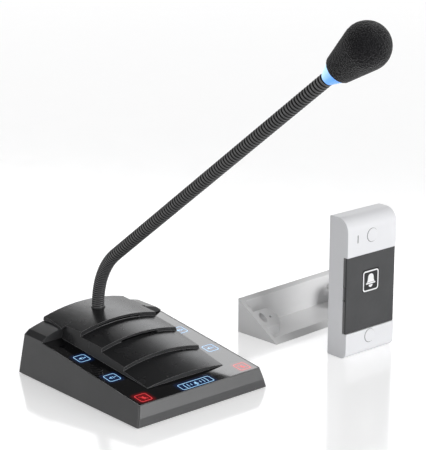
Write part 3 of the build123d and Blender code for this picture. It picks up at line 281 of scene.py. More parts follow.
class Graph(NodeTree):
    """A material's node tree around one main shader."""

    def __init__(self, name: str) -> None:
        """Starts a material.

        Args:
            name: the material's name.
        """
        self.material = bpy.data.materials.new(name)
        self.material.use_nodes = True
        super().__init__(self.material.node_tree, "Object")
        self.shader = self.nodes.new("ShaderNodeBsdfPrincipled")
        end = self.nodes.new("ShaderNodeOutputMaterial")
        self.links.new(self.shader.outputs["BSDF"], end.inputs["Surface"])

    def feed(self, **values: Socket | Colour | float) -> None:
        """Gives the main shader its values, by their names with _ for spaces."""
        for name, value in values.items():
            self.plug(value, self.shader.inputs[name.replace("_", " ")])

    def facing(self) -> Socket:
        """The surface's direction without any relief."""
        return self.output("ShaderNodeNewGeometry", "Normal")

    def rounded(self, radius: float) -> Socket:
        """The surface's direction with its corners rounded over.

        Args:
            radius: the corners' radius in metres.

        Returns:
            The normal.
        """
        node = self.nodes.new("ShaderNodeBevel")
        node.samples = BEVEL_SAMPLES
        self.plug(radius, node.inputs["Radius"])
        return node.outputs["Normal"]

    def bump(self, height: Socket, strength: float, depth: float, edge: float = 0.0) -> Socket:
        """A bumped normal, with corners rounded over by edge metres.

        Args:
            height: the relief, from 0 to 1.
            strength: how much of it shows.
            depth: the relief's depth in metres.
            edge: radius of the softened corners, none at 0.

        Returns:
            The normal.
        """
        node = self.nodes.new("ShaderNodeBump")
        self.plug(strength, node.inputs["Strength"])
        self.plug(depth, node.inputs["Distance"])
        self.plug(height, node.inputs["Height"])
        if edge > 0:
            self.plug(self.rounded(edge), node.inputs["Normal"])
        return node.outputs["Normal"]


# ---- Finishes ----


@dataclass(frozen=True)
class Finish:
    """A moulded, painted or cast surface: two close tints, grain, uneven gloss, soft edges, corners paled by
    wear and painted highlight.
    """

    slot: str
    tint: Colour
    second: Colour
    gloss: Pair = (0.35, 0.45)
    grain: float = 1500.0
    strength: float = 0.6
    relief: float = 0.000003
    metallic: float = 0.0
    specular: float = 0.5
    edge: float = 0.0003
    sheen: float = 0.0
    drift: float = 45.0
    gloss_breadth: float = 9.0
    # Paler corners: partly edge wear, partly a painted edge highlight on convex and concave edges alike.
    edge_wear_and_highlight: float = 0.0
    edge_wear_and_highlight_span: Pair = (0.72, 0.97)
    edge_wear_and_highlight_tint: Colour = (0.5, 0.5, 0.5)

    def material(self) -> bpy.types.Material:
        """Builds the finish.

        Returns:
            The material.
        """
        graph = Graph(self.slot)
        graph.feed(
            Base_Color=self.colour(graph),
            Roughness=self.roughness(graph),
            Normal=self.surface(graph),
            Metallic=self.metallic,
            Specular_IOR_Level=self.specular,
            Sheen_Weight=self.sheen,
        )
        self.extras(graph)
        return graph.material

    def colour(self, graph: Graph) -> Socket:
        """Mottles the two tints and pales the corners, partly as wear and partly as a painted edge
        highlight.

        Args:
            graph: the material's nodes.

        Returns:
            The colour.
        """
        mottle = graph.mottled(self.drift, TINT_OCTAVES, self.tint, self.second)
        if self.edge_wear_and_highlight <= 0:
            return mottle
        # Painted edge highlight mixed with wear: pales every corner the rounded normal finds, creases
        # included.
        flatness = graph.vector("DOT_PRODUCT", graph.rounded(self.edge_wear_and_highlight), graph.facing())
        return graph.mix(Mix.COLOUR, graph.spread(flatness, self.edge_wear_and_highlight_span, FALLING), mottle, self.edge_wear_and_highlight_tint)

    def roughness(self, graph: Graph) -> Socket:
        """The uneven gloss, in patches broader than the grain."""
        return graph.uneven(self.grain / self.gloss_breadth, GLOSS_OCTAVES, self.gloss)

    def surface(self, graph: Graph) -> Socket:
        """The fine grain's normal."""
        return graph.bump(graph.noise(self.grain, GRAIN_OCTAVES), self.strength, self.relief, self.edge)

    def extras(self, graph: Graph) -> None:
        """Room for what only some finishes have."""


@dataclass(frozen=True)
class Foam(Finish):
    """Open-cell foam: deep dark pores and a soft dusty sheen."""

    strength: float = 0.9
    pore: float = 950.0
    relief_span: Pair = (0.0, 0.75)
    tint_span: Pair = (0.1, 0.6)
    sheen_width: float = 0.45

    def colour(self, graph: Graph) -> Socket:
        """The tints, from the pores' middles to their edges."""
        pores = graph.spread(graph.cells(self.pore), self.tint_span, RISING)
        return graph.tints(pores, ((0.0, self.tint), (1.0, self.second)))

    def surface(self, graph: Graph) -> Socket:
        """The pores' normal."""
        pores = graph.spread(graph.cells(self.pore), self.relief_span, RISING)
        return graph.bump(pores, self.strength, self.relief)

    def extras(self, graph: Graph) -> None:
        """Sets the sheen's width."""
        graph.feed(Sheen_Roughness=self.sheen_width)


@dataclass(frozen=True)
class Woven(Finish):
    """Acoustic cloth or pressed paper: two crossing sets of threads."""

    strength: float = 0.8
    relief: float = 0.0001
    threads: float = 2200.0
    thread_length: float = 6.0

    def surface(self, graph: Graph) -> Socket:
        """Crosses the two sets of threads.

        Args:
            graph: the material's nodes.

        Returns:
            The weave's normal.
        """
        fine, long = self.threads, self.threads / self.thread_length
        warp = graph.noise(1.0, 1.0, graph.vector("MULTIPLY", graph.place, (fine, long, fine)))
        weft = graph.noise(1.0, 1.0, graph.vector("MULTIPLY", graph.place, (long, fine, fine)))
        return graph.bump(graph.number("MAXIMUM", warp, weft), self.strength, self.relief)


@dataclass(frozen=True)
class Cast(Finish):
    """Pale die-cast metal whose flat tray floor is shinier and painted paler, as a painted reflection."""

    strength: float = 0.35
    tray_height: float = 2.4 * MM
    tray_fade: float = 1.15
    level: float = 0.9
    # Painted reflection: the up-facing tray floor's paler colour stands in for the bright surroundings it
    # mirrors.
    painted_reflection_floor_tint: Colour = (0.93, 0.93, 0.935)
    burnished_gloss: float = 0.4
    gloss_patch: float = 260.0
    grain_breadth: float = 3.0

    def tray(self, graph: Graph) -> Socket:
        """Finds the tray's floor by its height and direction.

        Args:
            graph: the material's nodes.

        Returns:
            1 on the floor and 0 elsewhere.
        """
        heights = (self.tray_height, self.tray_height * self.tray_fade)
        low = graph.spread(graph.axes(graph.place)[2], heights, FALLING)
        flat = graph.number("GREATER_THAN", graph.axes(graph.facing())[2], self.level)
        return graph.number("MULTIPLY", low, flat)

    def colour(self, graph: Graph) -> Socket:
        """The cast metal's colour, painted paler on the up-facing tray floor as a painted reflection."""
        return graph.mix(Mix.COLOUR, self.tray(graph), super().colour(graph), self.painted_reflection_floor_tint)

    def roughness(self, graph: Graph) -> Socket:
        """The uneven gloss, shinier on the tray's floor."""
        polish = graph.spread(self.tray(graph), RISING, (1.0, self.burnished_gloss))
        return graph.number("MULTIPLY", graph.uneven(self.gloss_patch, GLOSS_OCTAVES, self.gloss), polish)

    def surface(self, graph: Graph) -> Socket:
        """Cast grain over the softened edges.

        Args:
            graph: the material's nodes.

        Returns:
            The grain's normal.
        """
        broad = graph.noise(self.grain / self.grain_breadth, GRAIN_OCTAVES)
        grain = graph.number("MULTIPLY", graph.cells(self.grain), broad)
        return graph.bump(grain, self.strength, self.relief, self.edge)


@dataclass(frozen=True)
class Wound(Finish):
    """Enamelled winding, shiny on its ridges and dull in its grooves, with painted shade darkening the
    grooves.
    """

    # Painted shade: the grooves' near-black colour stands in for the shade between the windings.
    groove: Colour = (0.0015, 0.0015, 0.0016)
    ridge_span: Pair = (0.62, 1.0)

    def sunk(self, graph: Graph) -> Socket:
        """How deep in a groove it is, by the height that the mesh carries.

        Args:
            graph: the material's nodes.

        Returns:
            0 on the ridges and 1 in the grooves.
        """
        height = graph.nodes.new("ShaderNodeAttribute")
        height.attribute_name = RIDGE
        return graph.spread(height.outputs["Fac"], self.ridge_span, FALLING, True)

    def colour(self, graph: Graph) -> Socket:
        """The enamel's tints, with painted shade darkening the grooves."""
        return graph.mix(Mix.COLOUR, self.sunk(graph), super().colour(graph), self.groove)

    def roughness(self, graph: Graph) -> Socket:
        """The ridges' gloss, dulled in the grooves."""
        return graph.spread(self.sunk(graph), RISING, self.gloss)


@dataclass(frozen=True)
class Glow:
    """Light that spills under the glass from one key: its place, half size and colour."""

    place: Pair
    half: Pair
    colour: Colour


@dataclass(frozen=True)
class TouchGlass(Finish):
    """Black back-printed glass with dim light round each key."""

    glows: tuple[Glow, ...] = ()
    spill: float = 4.8 * MM

    def extras(self, graph: Graph) -> None:
        """Adds each key's spill of light, mirrored left and right.

        Args:
            graph: the material's nodes.
        """
        across, along, _ = graph.axes(graph.place)
        flat = graph.nodes.new("ShaderNodeCombineXYZ")
        graph.plug(graph.number("ABSOLUTE", across), flat.inputs["X"])
        graph.plug(along, flat.inputs["Y"])
        total: Socket | None = None
        for glow in self.glows:
            away = graph.vector("SUBTRACT", flat.outputs["Vector"], (*glow.place, 0.0))
            away = graph.vector("SUBTRACT", graph.vector("ABSOLUTE", away), (*glow.half, 0.0))
            distance = graph.vector("LENGTH", graph.vector("MAXIMUM", away, (0.0, 0.0, 0.0)))
            near = graph.spread(distance, (0.0, self.spill), FALLING, True)
            light = graph.tints(near, ((0.0, BLACK), (1.0, glow.colour)))
            total = light if total is None else graph.vector("ADD", total, light)
        graph.feed(Emission_Color=total, Emission_Strength=1.0)


@dataclass(frozen=True)
class Lit(Finish):
    """A surface lit from inside, unevenly, with a clear skin."""

    light: Colour = WHITE
    faint: Colour = WHITE
    power: float = 1.0
    patch: float = 120.0
    patch_span: Pair = (0.35, 0.65)

    def extras(self, graph: Graph) -> None:
        """Adds the light, in patches.

        Args:
            graph: the material's nodes.
        """
        stops = tuple(zip(self.patch_span, (self.light, self.faint)))
        light = graph.tints(graph.noise(self.patch, GRAIN_OCTAVES), stops)
        graph.feed(Emission_Color=light, Emission_Strength=self.power)


@dataclass(frozen=True)
class LitRing(Lit):
    """A milky ring lit from inside, deeper in colour below and in front, and paler above as a painted
    reflection.
    """

    deep_side: Triple = (-0.50, -0.60, -0.62)
    deep_span: Pair = (0.15, 0.95)
    waver: Pair = (0.86, 1.0)

    def extras(self, graph: Graph) -> None:
        """Adds the light, deep round the lower front and paler above, where the paleness is a painted
        reflection.

        Args:
            graph: the material's nodes.
        """
        # Painted reflection: the side facing away from deep_side is painted paler, by its direction.
        toward = graph.vector("DOT_PRODUCT", graph.facing(), self.deep_side)
        painted_reflection = graph.spread(toward, self.deep_span, FALLING, True)
        painted_reflection = graph.number("MULTIPLY", painted_reflection, graph.uneven(self.patch, GRAIN_OCTAVES, self.waver))
        light = graph.tints(painted_reflection, ((0.0, self.light), (1.0, self.faint)))
        graph.feed(Emission_Color=light, Emission_Strength=self.power)


KEY_BLUE: Colour = (0.003, 0.013, 0.055)
KEY_RED: Colour = (0.14, 0.002, 0.004)
FINISHES: tuple[Finish, ...] = (
    Finish(
        "graphite_shell",
        (0.021, 0.0215, 0.023),
        (0.027, 0.0275, 0.029),
        (0.28, 0.33),
        grain=4200.0,
        relief=0.000006,
        edge=0.0004,
        edge_wear_and_highlight=0.0004,
        edge_wear_and_highlight_tint=(0.06, 0.06, 0.062),
    ),
    Finish(
        "graphite_hood",
        (0.014, 0.0142, 0.015),
        (0.017, 0.0173, 0.0183),
        (0.25, 0.28),
        grain=700.0,
        relief=0.000002,
        specular=0.24,
        # Pale edge lines on the tiers: mostly a painted edge highlight, with some edge wear.
        edge_wear_and_highlight=0.0007,
        edge_wear_and_highlight_tint=(0.19, 0.19, 0.195),
    ),
    TouchGlass(
        "black_glass",
        (0.003, 0.003, 0.0035),
        (0.0045, 0.0045, 0.005),
        (0.02, 0.035),
        relief=0.0,
        specular=0.85,
        edge=0.0002,
        glows=(
            Glow((0.0471, 0.0110), (0.0040, 0.0040), KEY_BLUE),
            Glow((0.0471, -0.0256), (0.0040, 0.0040), KEY_BLUE),
            Glow((0.0471, -0.0620), (0.0040, 0.0040), KEY_RED),
            Glow((0.0, -0.0644), (0.0140, 0.0034), KEY_BLUE),
        ),
    ),
    Finish("light_guide", (0.82, 0.9, 0.98), (0.74, 0.84, 0.95), (0.2, 0.3)),
    Finish("board_green", (0.012, 0.09, 0.035), (0.02, 0.13, 0.05), (0.28, 0.4), grain=900.0),
    Finish("chip_black", (0.02, 0.02, 0.022), (0.03, 0.03, 0.032), (0.5, 0.65)),
    Woven("cloth_black", (0.012, 0.012, 0.013), (0.02, 0.02, 0.022), (0.8, 0.95), sheen=0.2),
    Finish("basket_steel", (0.04, 0.04, 0.044), (0.055, 0.055, 0.06), (0.3, 0.45)),
    Woven("cone_paper", (0.025, 0.025, 0.027), (0.04, 0.04, 0.042), (0.8, 0.95)),
    Finish("magnet_ferrite", (0.07, 0.07, 0.075), (0.1, 0.1, 0.105), (0.5, 0.7), grain=1400.0),
    Finish("zinc_screw", (0.62, 0.62, 0.64), (0.7, 0.7, 0.72), (0.22, 0.34), metallic=1.0, edge=0.0002),
    Finish("base_plastic", (0.025, 0.025, 0.027), (0.032, 0.032, 0.034), (0.45, 0.6)),
    Finish("pad_rubber", (0.016, 0.016, 0.016), (0.024, 0.024, 0.024), (0.75, 0.9), relief=0.00006),
    Finish("ballast_steel", (0.4, 0.41, 0.42), (0.48, 0.49, 0.5), (0.35, 0.5), metallic=1.0, grain=1200.0),
    Finish("socket_black", (0.015, 0.015, 0.017), (0.021, 0.021, 0.023), (0.3, 0.42)),
    Wound("neck_black", (0.085, 0.085, 0.087), (0.105, 0.105, 0.107), (0.25, 0.8), edge=0.0),
    Finish("collar_black", (0.014, 0.014, 0.015), (0.02, 0.02, 0.021), (0.3, 0.4)),
    Finish("nut_zinc", (0.56, 0.56, 0.58), (0.64, 0.64, 0.66), (0.28, 0.4), metallic=1.0),
    LitRing(
        "ring_blue",
        (0.25, 0.5, 0.8),
        (0.3, 0.55, 0.85),
        (0.16, 0.26),
        edge=0.0004,
        light=(0.02, 0.20, 0.80),
        # faint: the paler colour of the ring's painted reflection.
        faint=(0.42, 0.66, 0.85),
        power=0.8,
    ),
    Finish("housing_black", (0.02, 0.02, 0.022), (0.03, 0.03, 0.033), (0.3, 0.4), metallic=0.6),
    Finish("capsule_alu", (0.55, 0.55, 0.57), (0.62, 0.62, 0.64), (0.25, 0.4), metallic=1.0),
    Foam(
        "foam_black",
        (0.024, 0.024, 0.026),
        (0.007, 0.007, 0.008),
        (0.85, 0.98),
        relief=0.0007,
        specular=0.12,
        sheen=0.24,
    ),
    Finish(
        "panel_white",
        (0.765, 0.77, 0.79),
        (0.775, 0.78, 0.80),
        (0.30, 0.33),
        specular=0.12,
        edge=0.0004,
    ),
    Finish("seal_grey", (0.14, 0.14, 0.143), (0.17, 0.17, 0.173), (0.6, 0.75), grain=3000.0, relief=0.00001),
    Finish(
        "plate_graphite",
        (0.040, 0.041, 0.043),
        (0.050, 0.051, 0.053),
        (0.42, 0.52),
        grain=3400.0,
        relief=0.00003,
        specular=0.35,
    ),
    Finish(
        "key_graphite",
        (0.012, 0.012, 0.013),
        (0.016, 0.016, 0.017),
        (0.5, 0.6),
        grain=3000.0,
        specular=0.3,
    ),
    Finish(
        "plug_white",
        (0.77, 0.775, 0.795),
        (0.78, 0.785, 0.805),
        (0.30, 0.33),
        specular=0.12,
        edge=0.0,
    ),
    Finish("back_black", (0.02, 0.02, 0.022), (0.027, 0.027, 0.029), (0.4, 0.52)),
    Cast(
        "bracket_alu",
        (0.79, 0.79, 0.795),
        (0.82, 0.82, 0.825),
        (0.34, 0.40),
        grain=3600.0,
        relief=0.00001,
        metallic=0.12,
        edge=0.0004,
        edge_wear_and_highlight=0.0004,
        edge_wear_and_highlight_tint=(0.82, 0.82, 0.825),
    ),
)


class Ink(Enum):
    """Finishes of the printed marks, which take no slot of their own."""

    BLUE = Lit(
        "print_blue",
        (0.02, 0.05, 0.09),
        (0.03, 0.06, 0.1),
        (0.02, 0.035),
        relief=0.0,
        edge=0.0,
        light=(0.30, 0.60, 0.96),
        faint=(0.44, 0.74, 1.0),
    )
    RED = Lit(
        "print_red",
        (0.09, 0.01, 0.01),
        (0.1, 0.012, 0.012),
        (0.02, 0.035),
        relief=0.0,
        edge=0.0,
        light=(0.76, 0.04, 0.045),
        faint=(0.9, 0.07, 0.08),
        power=0.95,
    )
    WHITE = Finish("print_white", (0.86, 0.86, 0.87), (0.82, 0.82, 0.83), (0.4, 0.5), edge=0.0)


class Wardrobe:
    """Builds each finish once and puts it on objects."""

    def __init__(self, record: dict) -> None:
        """Reads which node wears which slot.

        Args:
            record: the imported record.
        """
        self.finishes: dict[str, Finish] = {finish.slot: finish for finish in FINISHES}
        self.slots: dict[str, str] = {part["node"]: part["material_slot"] for part in record["subparts"]}
        self.built: dict[str, bpy.types.Material] = {}

    def dress(self, piece: Piece, finish: Finish) -> None:
        """Gives a piece one finish and nothing else.

        Args:
            piece: the piece.
            finish: its finish, whose material is built at its first use.
        """
        if finish.slot not in self.built:
            self.built[finish.slot] = finish.material()
        piece.data.materials.clear()
        piece.data.materials.append(self.built[finish.slot])

    def wear(self, piece: Piece, slot: str) -> None:
        """Dresses a new piece from one of the record's slots."""
        self.dress(piece, self.finishes[slot])

    def dress_node(self, name: str, node: Piece) -> None:
        """Dresses a carried-over node from its own slot and evens its shading out."""
        self.dress(node, self.finishes[self.slots[name]])
        node.modifiers.new("even_shading", "WEIGHTED_NORMAL").weight = SHADING_WEIGHT


# ---- Meshes ----


def neighbours(count: int) -> list[tuple[int, int]]:
    """Each place round a loop, with the next one."""
    return [(step, (step + 1) % count) for step in range(count)]


def arc_points(
    centre: Pair,
    radius: float,
    start: float,
    end: float,
    steps: int,
    both_ends: bool,
) -> list[Pair]:
    """Points along an arc.

    Args:
        centre: its centre.
        radius: its radius.
        start: the first angle in degrees.
        end: the last angle in degrees.
        steps: how many parts it has.
        both_ends: keeps the last point too.

    Returns:
        The points in order.
    """
    angles = [math.radians(start + (end - start) * step / steps) for step in range(steps + both_ends)]
    return [(centre[0] + radius * math.cos(angle), centre[1] + radius * math.sin(angle)) for angle in angles]


def shaped(
    name: str,
    points: Sequence[Vector],
    faces: Sequence[Sequence[int]],
    smooth: bool = True,
) -> Piece:
    """Links a new mesh object.

    Args:
        name: the object's name.
        points: its corners in the row frame, in metres.
        faces: its faces, as places in points.
        smooth: smooth or flat faces.

    Returns:
        The object.
    """
    mesh = bpy.data.meshes.new(name)
    mesh.from_pydata([tuple(point) for point in points], [], [tuple(face) for face in faces])
    mesh.polygons.foreach_set("use_smooth", [smooth] * len(mesh.polygons))
    mesh.update()
    piece = bpy.data.objects.new(name, mesh)
    bpy.context.scene.collection.objects.link(piece)
    return piece


def turned(
    origin: Vector,
    axis: Vector,
    profile: Sequence[Pair],
    around: int,
    relief: Callable[[Vector, float], float] | None = None,
) -> tuple[list[Vector], list[list[int]]]:
    """Turns a profile about an axis.

    Args:
        origin: where the axis starts.
        axis: its direction.
        profile: (radius, distance) pairs; a radius of 0 closes an end.
        around: how many parts a turn has.
        relief: how far a point sinks along its radius, by its place and radius.

    Returns:
        The corners and the faces.
    """
    rise = axis.cross(ACROSS).normalized()
    points: list[Vector] = []
    rings: list[list[int]] = []
    for radius, distance in profile:
        middle = origin + axis * distance
        if radius < TINY:
            rings.append([len(points)] * around)
            points.append(middle)
            continue
        ring: list[int] = []
        for step in range(around):
            angle = 2 * math.pi * step / around
            direction = ACROSS * math.cos(angle) + rise * math.sin(angle)
            place = middle + direction * radius
            sunk = relief(place, radius) if relief else 0.0
            ring.append(len(points))
            points.append(place - direction * sunk)
        rings.append(ring)
    faces: list[list[int]] = []
    for low, high in zip(rings, rings[1:]):
        for step, turn in neighbours(around):
            face = list(dict.fromkeys((low[step], low[turn], high[turn], high[step])))
            if len(face) > 2:
                faces.append(face)
    return points, faces


@dataclass
class Print:
    """Thin marks on one flat face, gathered into one mesh."""

    origin: Vector
    across: Vector
    up: Vector
    lift: float = 0.04 * MM
    corner_steps: int = 6
    arc_steps: int = 10
    disc_steps: int = 14
    points: list[Vector] = field(default_factory=list)
    faces: list[list[int]] = field(default_factory=list)

    def spot(self, place: Pair, lift: float) -> int:
        """Adds one corner.

        Args:
            place: its place on the face.
            lift: its height over the face.

        Returns:
            Its number.
        """
        normal = self.across.cross(self.up)
        self.points.append(self.origin + self.across * place[0] + self.up * place[1] + normal * lift)
        return len(self.points) - 1

    def patch(self, outline: Sequence[Pair]) -> None:
        """Adds a filled shape with its thin wall.

        Args:
            outline: its corners, counter-clockwise.
        """
        top = [self.spot(place, self.lift) for place in outline]
        foot = [self.spot(place, 0.0) for place in outline]
        self.faces.append(top)
        for here, there in neighbours(len(top)):
            self.faces.append([foot[here], foot[there], top[there], top[here]])

    def band(self, line: Sequence[Pair], width: float, closed: bool = False) -> None:
        """Adds a stroke along a line.

        Args:
            line: its middle points in order.
            width: the stroke's width.
            closed: joins its end to its start.
        """
        count = len(line)
        rails: list[tuple[Pair, Pair]] = []
        for index, (u, v) in enumerate(line):
            before = line[index - 1] if index > 0 or closed else line[index]
            after = line[(index + 1) % count] if index < count - 1 or closed else line[index]
            along = Vector((after[0] - before[0], after[1] - before[1])).normalized() * width / 2
            rails.append(((u + along.y, v - along.x), (u - along.y, v + along.x)))
        for here, there in neighbours(count)[: count if closed else count - 1]:
            (a, b), (c, d) = rails[here], rails[there]
            self.patch((a, c, d, b))

    def half_disc(self, centre: Pair, radius: float) -> None:
        """Adds the lower half of a filled round shape."""
        self.patch(arc_points(centre, radius, 180, 360, self.disc_steps, True))

    def arc(self, centre: Pair, radius: float, start: float, end: float, width: float) -> None:
        """Adds a curved stroke between two angles."""
        self.band(arc_points(centre, radius, start, end, self.arc_steps, True), width)

    def capsule(self, radius: float, low: float, high: float, steps: int = 8) -> None:
        """Adds an upright shape with round ends.

        Args:
            radius: half its width.
            low: the lower end's centre.
            high: the upper end's centre.
            steps: how many parts each end has.
        """
        outline = arc_points((0, high), radius, 0, 180, steps, True)
        outline += arc_points((0, low), radius, 180, 360, steps, True)
        self.patch(outline)

    def frame(self, width: float, height: float, radius: float, line: float) -> None:
        """Adds a rounded frame.

        Args:
            width: its outer width.
            height: its outer height.
            radius: its middle line's corner radius.
            line: the stroke's width.
        """
        half_width = (width - line) / 2 - radius
        half_height = (height - line) / 2 - radius
        corners = ((1, 1, 0.0), (-1, 1, 90.0), (-1, -1, 180.0), (1, -1, 270.0))
        path: list[Pair] = []
        for side, rise, start in corners:
            centre = (side * half_width, rise * half_height)
            path += arc_points(centre, radius, start, start + 90, self.corner_steps, True)
        self.band(path, line, True)

    def made(self, name: str) -> Piece:
        """Makes the object."""
        return shaped(name, self.points, self.faces, False)


# ---- Sub-assemblies ----


class SubAssembly(Protocol):
    """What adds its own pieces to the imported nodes."""

    def build(self, wardrobe: Wardrobe) -> list[Piece]:
        """Makes the pieces, dresses them and puts them on their bodies, all but the gooseneck's runs."""


class Mark(Enum):
    """What a touch key's picture says."""

    LOUDER = "louder"
    SOFTER = "softer"
    MUTE = "mute"
    TALK = "talk"


@dataclass(frozen=True)
class LoudspeakerSign:
    """A small loudspeaker with one sound arc and a minus or a plus."""

    outline: tuple[Pair, ...] = (
        (-1.6, -0.55),
        (-0.7, -0.55),
        (0.5, -1.7),
        (0.5, 1.7),
        (-0.7, 0.55),
        (-1.6, 0.55),
    )
    shift: float = -0.9 * MM
    arc_centre: Pair = (-1.2 * MM, 0.0)
    arc_radius: float = 2.4 * MM
    arc_half: float = 38.0
    arc_line: float = 0.5 * MM
    minus: tuple[Pair, Pair] = ((1.9 * MM, 0.0), (3.5 * MM, 0.0))
    upright: tuple[Pair, Pair] = ((2.7 * MM, -0.8 * MM), (2.7 * MM, 0.8 * MM))
    line: float = 0.55 * MM

    def draw(self, mark: Print, plus: bool) -> None:
        """Adds the sign to a print.

        Args:
            mark: the print it goes on.
            plus: makes the minus a plus.
        """
        mark.patch([(self.shift + u * MM, v * MM) for u, v in self.outline])
        mark.arc(self.arc_centre, self.arc_radius, -self.arc_half, self.arc_half, self.arc_line)
        mark.band(self.minus, self.line)
        if plus:
            mark.band(self.upright, self.line)


@dataclass(frozen=True)
class MicrophoneSign:
    """A small standing microphone, its sizes as shares of its scale."""

    capsule_radius: float = 0.75
    capsule_ends: Pair = (-0.2, 0.9)
    cradle_height: float = -0.1
    cradle_radius: float = 1.35
    stem: Pair = (-1.4, -2.2)
    foot_half: float = 0.9
    foot_height: float = -2.3
    line: float = 0.42

    def draw(self, mark: Print, size: float) -> None:
        """Adds the sign to a print.

        Args:
            mark: the print it goes on.
            size: its scale.
        """
        low, high = self.capsule_ends
        mark.capsule(self.capsule_radius * size, low * size, high * size)
        mark.arc((0, self.cradle_height * size), self.cradle_radius * size, 180, 360, self.line * size)
        mark.band([(0, height * size) for height in self.stem], self.line * size)
        foot = [(side * self.foot_half * size, self.foot_height * size) for side in (-1, 1)]
        mark.band(foot, self.line * size)


@dataclass
class TouchKeys:
    """The seven lit pictures printed over the light guides."""

    slope: float = math.radians(6.94)
    front_edge: float = -70.8 * MM
    front_height: float = 16.0 * MM
    gap: float = 0.02 * MM
    side_place: float = 47.1 * MM
    rows: tuple[tuple[float, Mark], ...] = (
        (11.0 * MM, Mark.LOUDER),
        (-25.6 * MM, Mark.SOFTER),
        (-62.0 * MM, Mark.MUTE),
    )
    key_size: float = 10.4 * MM
    key_corner: float = 1.7 * MM
    line: float = 0.56 * MM
    talk_place: float = -64.4 * MM
    talk_length: float = 30.0 * MM
    talk_height: float = 8.6 * MM
    talk_corner: float = 1.5 * MM
    talk_microphone: float = 1.15 * MM
    talk_arcs: Triple = (4.4 * MM, 7.4 * MM, 10.4 * MM)
    talk_arc_half: float = 17.0
    talk_arc_line: float = 0.62 * MM
    mute_microphone: float = 1.0 * MM
    mute_slash: tuple[Pair, Pair] = ((-2.7 * MM, 2.4 * MM), (2.7 * MM, -2.6 * MM))
    mute_line: float = 0.55 * MM

    def face(self, x: float, y: float) -> Print:
        """An empty print on the glass, centred at a place seen from above.

        Args:
            x: the place across.
            y: the place along.

        Returns:
            The print.
        """
        up = Vector((0, math.cos(self.slope), math.sin(self.slope)))
        height = self.front_height + (y - self.front_edge) * math.tan(self.slope)
        return Print(Vector((x, y, height)) + ACROSS.cross(up) * self.gap, ACROSS, up)

    def picture(self, mark: Print, kind: Mark) -> None:
        """Adds a key's picture.

        Args:
            mark: the print it goes on.
            kind: what it says.
        """
        if kind is Mark.TALK:
            MicrophoneSign().draw(mark, self.talk_microphone)
            for radius in self.talk_arcs:
                for middle in (0, 180):
                    ends = (middle - self.talk_arc_half, middle + self.talk_arc_half)
                    mark.arc((0, 0), radius, *ends, self.talk_arc_line)
        elif kind is Mark.MUTE:
            MicrophoneSign().draw(mark, self.mute_microphone)
            mark.band(self.mute_slash, self.mute_line)
        else:
            LoudspeakerSign().draw(mark, kind is Mark.LOUDER)

    def key(self, name: str, mark: Print, kind: Mark, wardrobe: Wardrobe) -> Piece:
        """Adds a framed print's picture and turns it into a piece of the console.

        Args:
            name: the piece's name.
            mark: the print with its frame.
            kind: what it says, which gives its ink.
            wardrobe: where the ink comes from.

        Returns:
            The piece.
        """
        self.picture(mark, kind)
        piece = mark.made(name)
        wardrobe.dress(piece, (Ink.RED if kind is Mark.MUTE else Ink.BLUE).value)
        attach(piece, "console")
        return piece

    def build(self, wardrobe: Wardrobe) -> list[Piece]:
        """Makes every key's print and puts it on the console.

        Args:
            wardrobe: where the inks come from.

        Returns:
            The seven prints.
        """
        pieces: list[Piece] = []
        for side, letter in ((-1, "left"), (1, "right")):
            for y, kind in self.rows:
                mark = self.face(side * self.side_place, y)
                mark.frame(self.key_size, self.key_size, self.key_corner, self.line)
                pieces.append(self.key(f"key_print_{kind.value}_{letter}", mark, kind, wardrobe))
        mark = self.face(0, self.talk_place)
        mark.frame(self.talk_length, self.talk_height, self.talk_corner, self.line)
        return [*pieces, self.key("key_print_talk", mark, Mark.TALK, wardrobe)]


